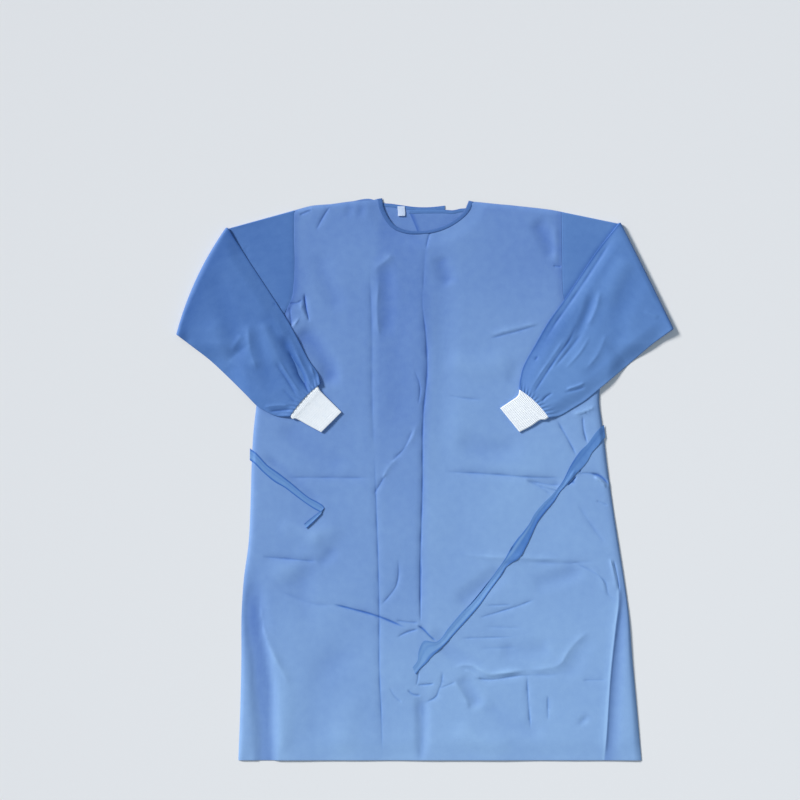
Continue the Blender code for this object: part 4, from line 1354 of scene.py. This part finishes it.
def cuff(name, side, table):
    """A flattened tube whose ribs run from the sleeve to the hand."""
    start = SLEEVE_HALF + 2 * TURN_RADIUS
    last = len(table) - 1
    rings = []
    length = 0.0
    for row in np.linspace(0, last, CUFF_ROWS):
        near, far, width, forward = section(table, row, side)
        half = CUFF_TUCK_HALF + (CUFF_HALF - CUFF_TUCK_HALF) * smooth(row / CUFF_SWELL_ROWS)
        thinner = smooth((row - CUFF_THIN_FROM) / (last - CUFF_THIN_FROM))
        half -= (CUFF_HALF - CUFF_HAND_HALF) * thinner
        lower = smooth((row - CUFF_SINK_FROM) / (last - CUFF_SINK_FROM))
        middle = start - CUFF_SINK * lower
        across, height, girth = flat_ring(width, half, CUFF_STEPS)
        share = across / width
        bow = END_BOW * smooth(1 - row / CUFF_BOW_ROWS) * arch(share)
        tuck = CUFF_TUCK * smooth(1 - row / CUFF_TUCK_ROWS)
        place = near + (far - near) * share[:, None] - forward * (bow + tuck)[:, None]
        rib = CUFF_RIB * np.cos(2 * math.pi * share * round(CUFF_LENGTH / CUFF_PITCH))
        ease = CUFF_EASE * np.sin(math.pi * np.clip(share, 0, 1))
        rings.append(lattice_of(place[:, 0], place[:, 1],
                                middle + height + np.sign(height) * (rib + ease * (height > 0)),
                                0.5, 0.0, girth, length))
        length += CUFF_LENGTH / CUFF_ROWS
    piece = woven_from(name + "_knit", np.array(rings), knit.material, CUFF_WALL, closed=True)
    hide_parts(name)


cuff("cuff_left", -1, CUFF_LEFT)
cuff("cuff_right", 1, CUFF_RIGHT)


# Waist ties
# Long strips of gown nonwoven, folded lengthwise with their raw edges inside. They
# are sewn in at the sides and lie loosely across the front.
# the left tie's edge tones, and the strength of the painted shade line along each edge
TIE_LEFT_LOOK = (0.36, 0.42, 1.1, 1.2)
TIE_LEFT = [row + TIE_LEFT_LOOK for row in (
    # upper x, upper y, lower x, lower y, layer, then tones of both edges, painting light and shade
    # of the strip's twists, and the painted shade lines of both edges
    (-355.2, 64.0, -355.4, 40.0, 0),
    (-340.3, 49.0, -343.0, 27.0, 0),
    (-324.3, 31.5, -329.0, 13.0, 0),
    (-300.7, 14.5, -308.0, -4.5, 0),
    (-274.7, -6.0, -287.8, -16.0, 0),
    (-255.0, -23.0, -261.6, -35.9, 0),
    (-235.8, -37.5, -241.9, -50.2, 0),
    (-216.0, -48.0, -224.9, -61.1, 0),
    (-208.1, -54.3, -214.0, -67.0, 0),
    (-206.2, -58.0, -211.5, -69.0, 0.5),
    (-209.5, -61.0, -214.5, -72.0, 1),
    (-227.0, -74.0, -228.0, -86.0, 1),
    (-247.0, -90.5, -243.0, -100.0, 1),
)]
TIE_RIGHT = (
    # the same columns, with the tones and painted shade lines row by row
    (364.0, 112.0, 366.5, 86.0, 0, 0.20, 0.22, 0.0, 0.0),
    (349.5, 95.9, 353.8, 68.7, 0, 0.20, 0.22, 0.0, 0.0),
    (332.7, 72.8, 341.1, 54.3, 0, 0.20, 0.22, 0.0, 0.0),
    (319.8, 60.5, 332.7, 37.9, 0, 0.20, 0.22, 0.3, 0.0),
    (298.3, 29.1, 309.6, 12.3, 0, 0.18, 0.24, 0.8, 0.2),
    (281.5, -4.3, 291.0, -9.2, 0, 0.28, 0.40, 0.8, 0.8),
    (270.0, -20.0, 276.3, -25.2, 0, 0.30, 0.34, 0.3, 0.9),
    (257.5, -33.8, 265.9, -42.0, 0, 0.34, 0.20, 0.0, 0.9),
    (238.6, -52.3, 246.0, -66.0, 0, 0.36, 0.16, 0.0, 0.9),
    (222.0, -74.0, 230.0, -88.0, 0, 0.34, 0.10, 0.2, 0.9),
    (214.2, -89.2, 223.5, -101.5, 0, 0.36, 0.10, 0.6, 0.8),
    (200.9, -107.6, 216.3, -117.5, 0, 0.52, 0.08, 1.0, 0.5),
    (191.0, -119.0, 208.0, -135.0, 0, 0.54, 0.10, 1.0, 0.4),
    (175.9, -140.4, 192.0, -161.0, 0, 0.56, 0.14, 1.0, 0.4),
    (163.2, -163.0, 170.0, -175.0, 0, 0.46, 0.24, 1.0, 0.6),
    (143.1, -191.7, 154.8, -197.0, 0, 0.46, 0.48, 0.7, 1.0),
    (124.2, -216.3, 134.0, -225.3, 0, 0.48, 0.52, 0.6, 1.0),
    (95.9, -251.1, 112.5, -255.8, 0, 0.50, 0.56, 0.6, 1.0),
    (72.6, -274.7, 84.1, -288.8, 0, 0.50, 0.58, 0.5, 1.0),
    (49.2, -302.4, 60.7, -314.7, 0, 0.50, 0.58, 0.5, 1.0),
    (23.0, -332.3, 34.9, -343.0, 0, 0.50, 0.56, 0.5, 1.0),
    (-3.0, -331.0, 14.0, -362.0, 0, 0.54, 0.56, 0.4, 0.8),
    (-13.0, -352.0, 4.0, -374.0, 0, 0.54, 0.56, 0.4, 0.8),
    (-15.0, -370.0, -8.0, -385.0, 0, 0.54, 0.56, 0.4, 0.8),
    (-25.2, -384.4, -19.3, -398.1, 0, 0.52, 0.52, 0.4, 0.8),
)
TIE_STEP = 3.0
TIE_ACROSS = 15
TIE_WALL = 0.3
TIE_CLEAR = 0.42
TIE_LAYER = 1.0
TIE_EDGE_LIFT = 0.18
TIE_CURL = 0.12
TIE_TWIST = 0.15
TIE_WIDTH = 24.0
TIE_LINE = 0.3
TIE_LINE_AT = 0.4
TIE_LINE_HALF = 0.07
TIE_PROUD = 3.2
TIE_ROOT = 12.0
TIE_ROOT_DROP = 3.4
ABOVE_ALL = 100.0
TIE_DEEP = (0.052, 0.172, 0.480)
TIE_LIGHT = (0.262, 0.462, 0.735)
tie_cloth = nonwoven("tie nonwoven", TIE_DEEP, TIE_LIGHT)

bpy.context.view_layer.update()
front_tree = BVHTree.FromObject(front, bpy.context.evaluated_depsgraph_get())


def cloth_under(x, y):
    """Height of the front's upper face at a place, or 0 beside it."""
    hit = front_tree.ray_cast(Vector((x, y, ABOVE_ALL)) * MM, Vector((0, 0, -1)))[0]
    return hit.z / MM if hit else 0.0


def tie(name, side, table):
    """A flat tie that lies on the front, from its root at the side edge."""
    middles = [((row[0] + row[2]) / 2, (row[1] + row[3]) / 2) for row in table]
    run = run_of([math.dist(a, b) for a, b in zip(middles, middles[1:])])
    where = np.linspace(0, run[-1], round(run[-1] / TIE_STEP) + 1)[:, None]
    x0, y0, x1, y1 = [bend_through(run, column_of(table, i), where) for i in range(4)]
    layer, near_tone, far_tone, near_line, far_line = [
        np.interp(where, run, column_of(table, i)) for i in range(4, 9)]
    share = np.linspace(0, 1, TIE_ACROSS)[None, :]
    x, y = x0 + (x1 - x0) * share, y0 + (y1 - y0) * share
    under = np.array([[cloth_under(px, py) for px, py in zip(*row)] for row in zip(x, y)])
    ground = under.copy()
    for shift, axis in ((-2, 0), (-1, 0), (1, 0), (2, 0), (1, 1), (-1, 1)):
        ground = np.maximum(ground, np.roll(under, shift, axis=axis))
    height = ground + TIE_CLEAR + layer * TIE_LAYER
    height += TIE_EDGE_LIFT * share ** 3 + TIE_CURL * (1 + np.cos(2 * math.pi * share))
    height += TIE_TWIST * (1 + np.sin(where / 14.0)) * share
    root = smooth(1 - where / TIE_ROOT)
    x += side * TIE_PROUD * root
    height -= TIE_ROOT_DROP * root
    # painted shade lines along the middle and both edges, standing in for the strip's creases and
    # its shadow on the front
    middle_line = TIE_LINE * np.exp(-((share - TIE_LINE_AT) / TIE_LINE_HALF) ** 2)
    line_shade = middle_line + near_line * smooth((0.2 - share) / 0.1)
    line_shade += far_line * smooth((share - 0.8) / 0.1)
    # tone across the strip, painting light and shade of its twists
    tone = near_tone + (far_tone - near_tone) * smooth((share - 0.3) / 0.2)
    piece = woven_from(name + "_strip", lattice_of(
        x, y, height, tone, line_shade, share * TIE_WIDTH, where), tie_cloth, TIE_WALL)
    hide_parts(name)


tie("tie_left", -1, TIE_LEFT)
tie("tie_right", 1, TIE_RIGHT)


# Floor, light and camera
# A plain pale floor, a soft key light from the upper left and a large soft fill
# from above. The camera looks straight down, as the photograph does.
VIEW_CENTRE = (-0.051, 0.163)
VIEW_WIDTH = 1.64
VIEW_HEIGHT = 4.0
KEY_FROM = (-0.78, 0.52, 0.46)
KEY_STRENGTH = 4.4
KEY_WIDTH = 13.0
FILL_FROM = (0.3, -0.6, 3.4)
FILL_SIZE = 3.0
FILL_POWER = 18.0
FILL_COLOUR = (0.80, 0.92, 1.0)
ROOM_LIGHT = 0.24
ROOM_COLOUR = (0.66, 0.86, 1.12, 1.0)
FLOOR_COLOUR = (0.84, 0.82, 0.80, 1.0)
bm = bmesh.new()
bmesh.ops.create_grid(bm, x_segments=1, y_segments=1, size=20.0)
floor = added("floor", mesh_of("floor", bm))
pale = Finish("pale floor")
pale.look(pale.shader, Base_Color=FLOOR_COLOUR, Roughness=0.9)
floor.data.materials.append(pale.material)

fill = bpy.data.lights.new("fill", "AREA")
fill.shape = "DISK"
fill.size = FILL_SIZE
fill.energy = FILL_POWER
fill.color = FILL_COLOUR
added("fill", fill).location = FILL_FROM
key = bpy.data.lights.new("key", "SUN")
key.energy = KEY_STRENGTH
key.angle = math.radians(KEY_WIDTH)
added("key", key).rotation_euler = Vector(KEY_FROM).to_track_quat("Z", "Y").to_euler()
world = bpy.data.worlds.new("room")
world.use_nodes = True
sky = world.node_tree.nodes["Background"].inputs
sky["Color"].default_value = ROOM_COLOUR
sky["Strength"].default_value = ROOM_LIGHT
bpy.context.scene.world = world
bpy.context.scene.view_settings.view_transform = "Standard"

lens = bpy.data.cameras.new("overhead")
lens.sensor_width = 36.0
lens.lens = lens.sensor_width * VIEW_HEIGHT / VIEW_WIDTH
camera = added("overhead", lens)
camera.location = (*VIEW_CENTRE, VIEW_HEIGHT)
bpy.context.scene.camera = camera
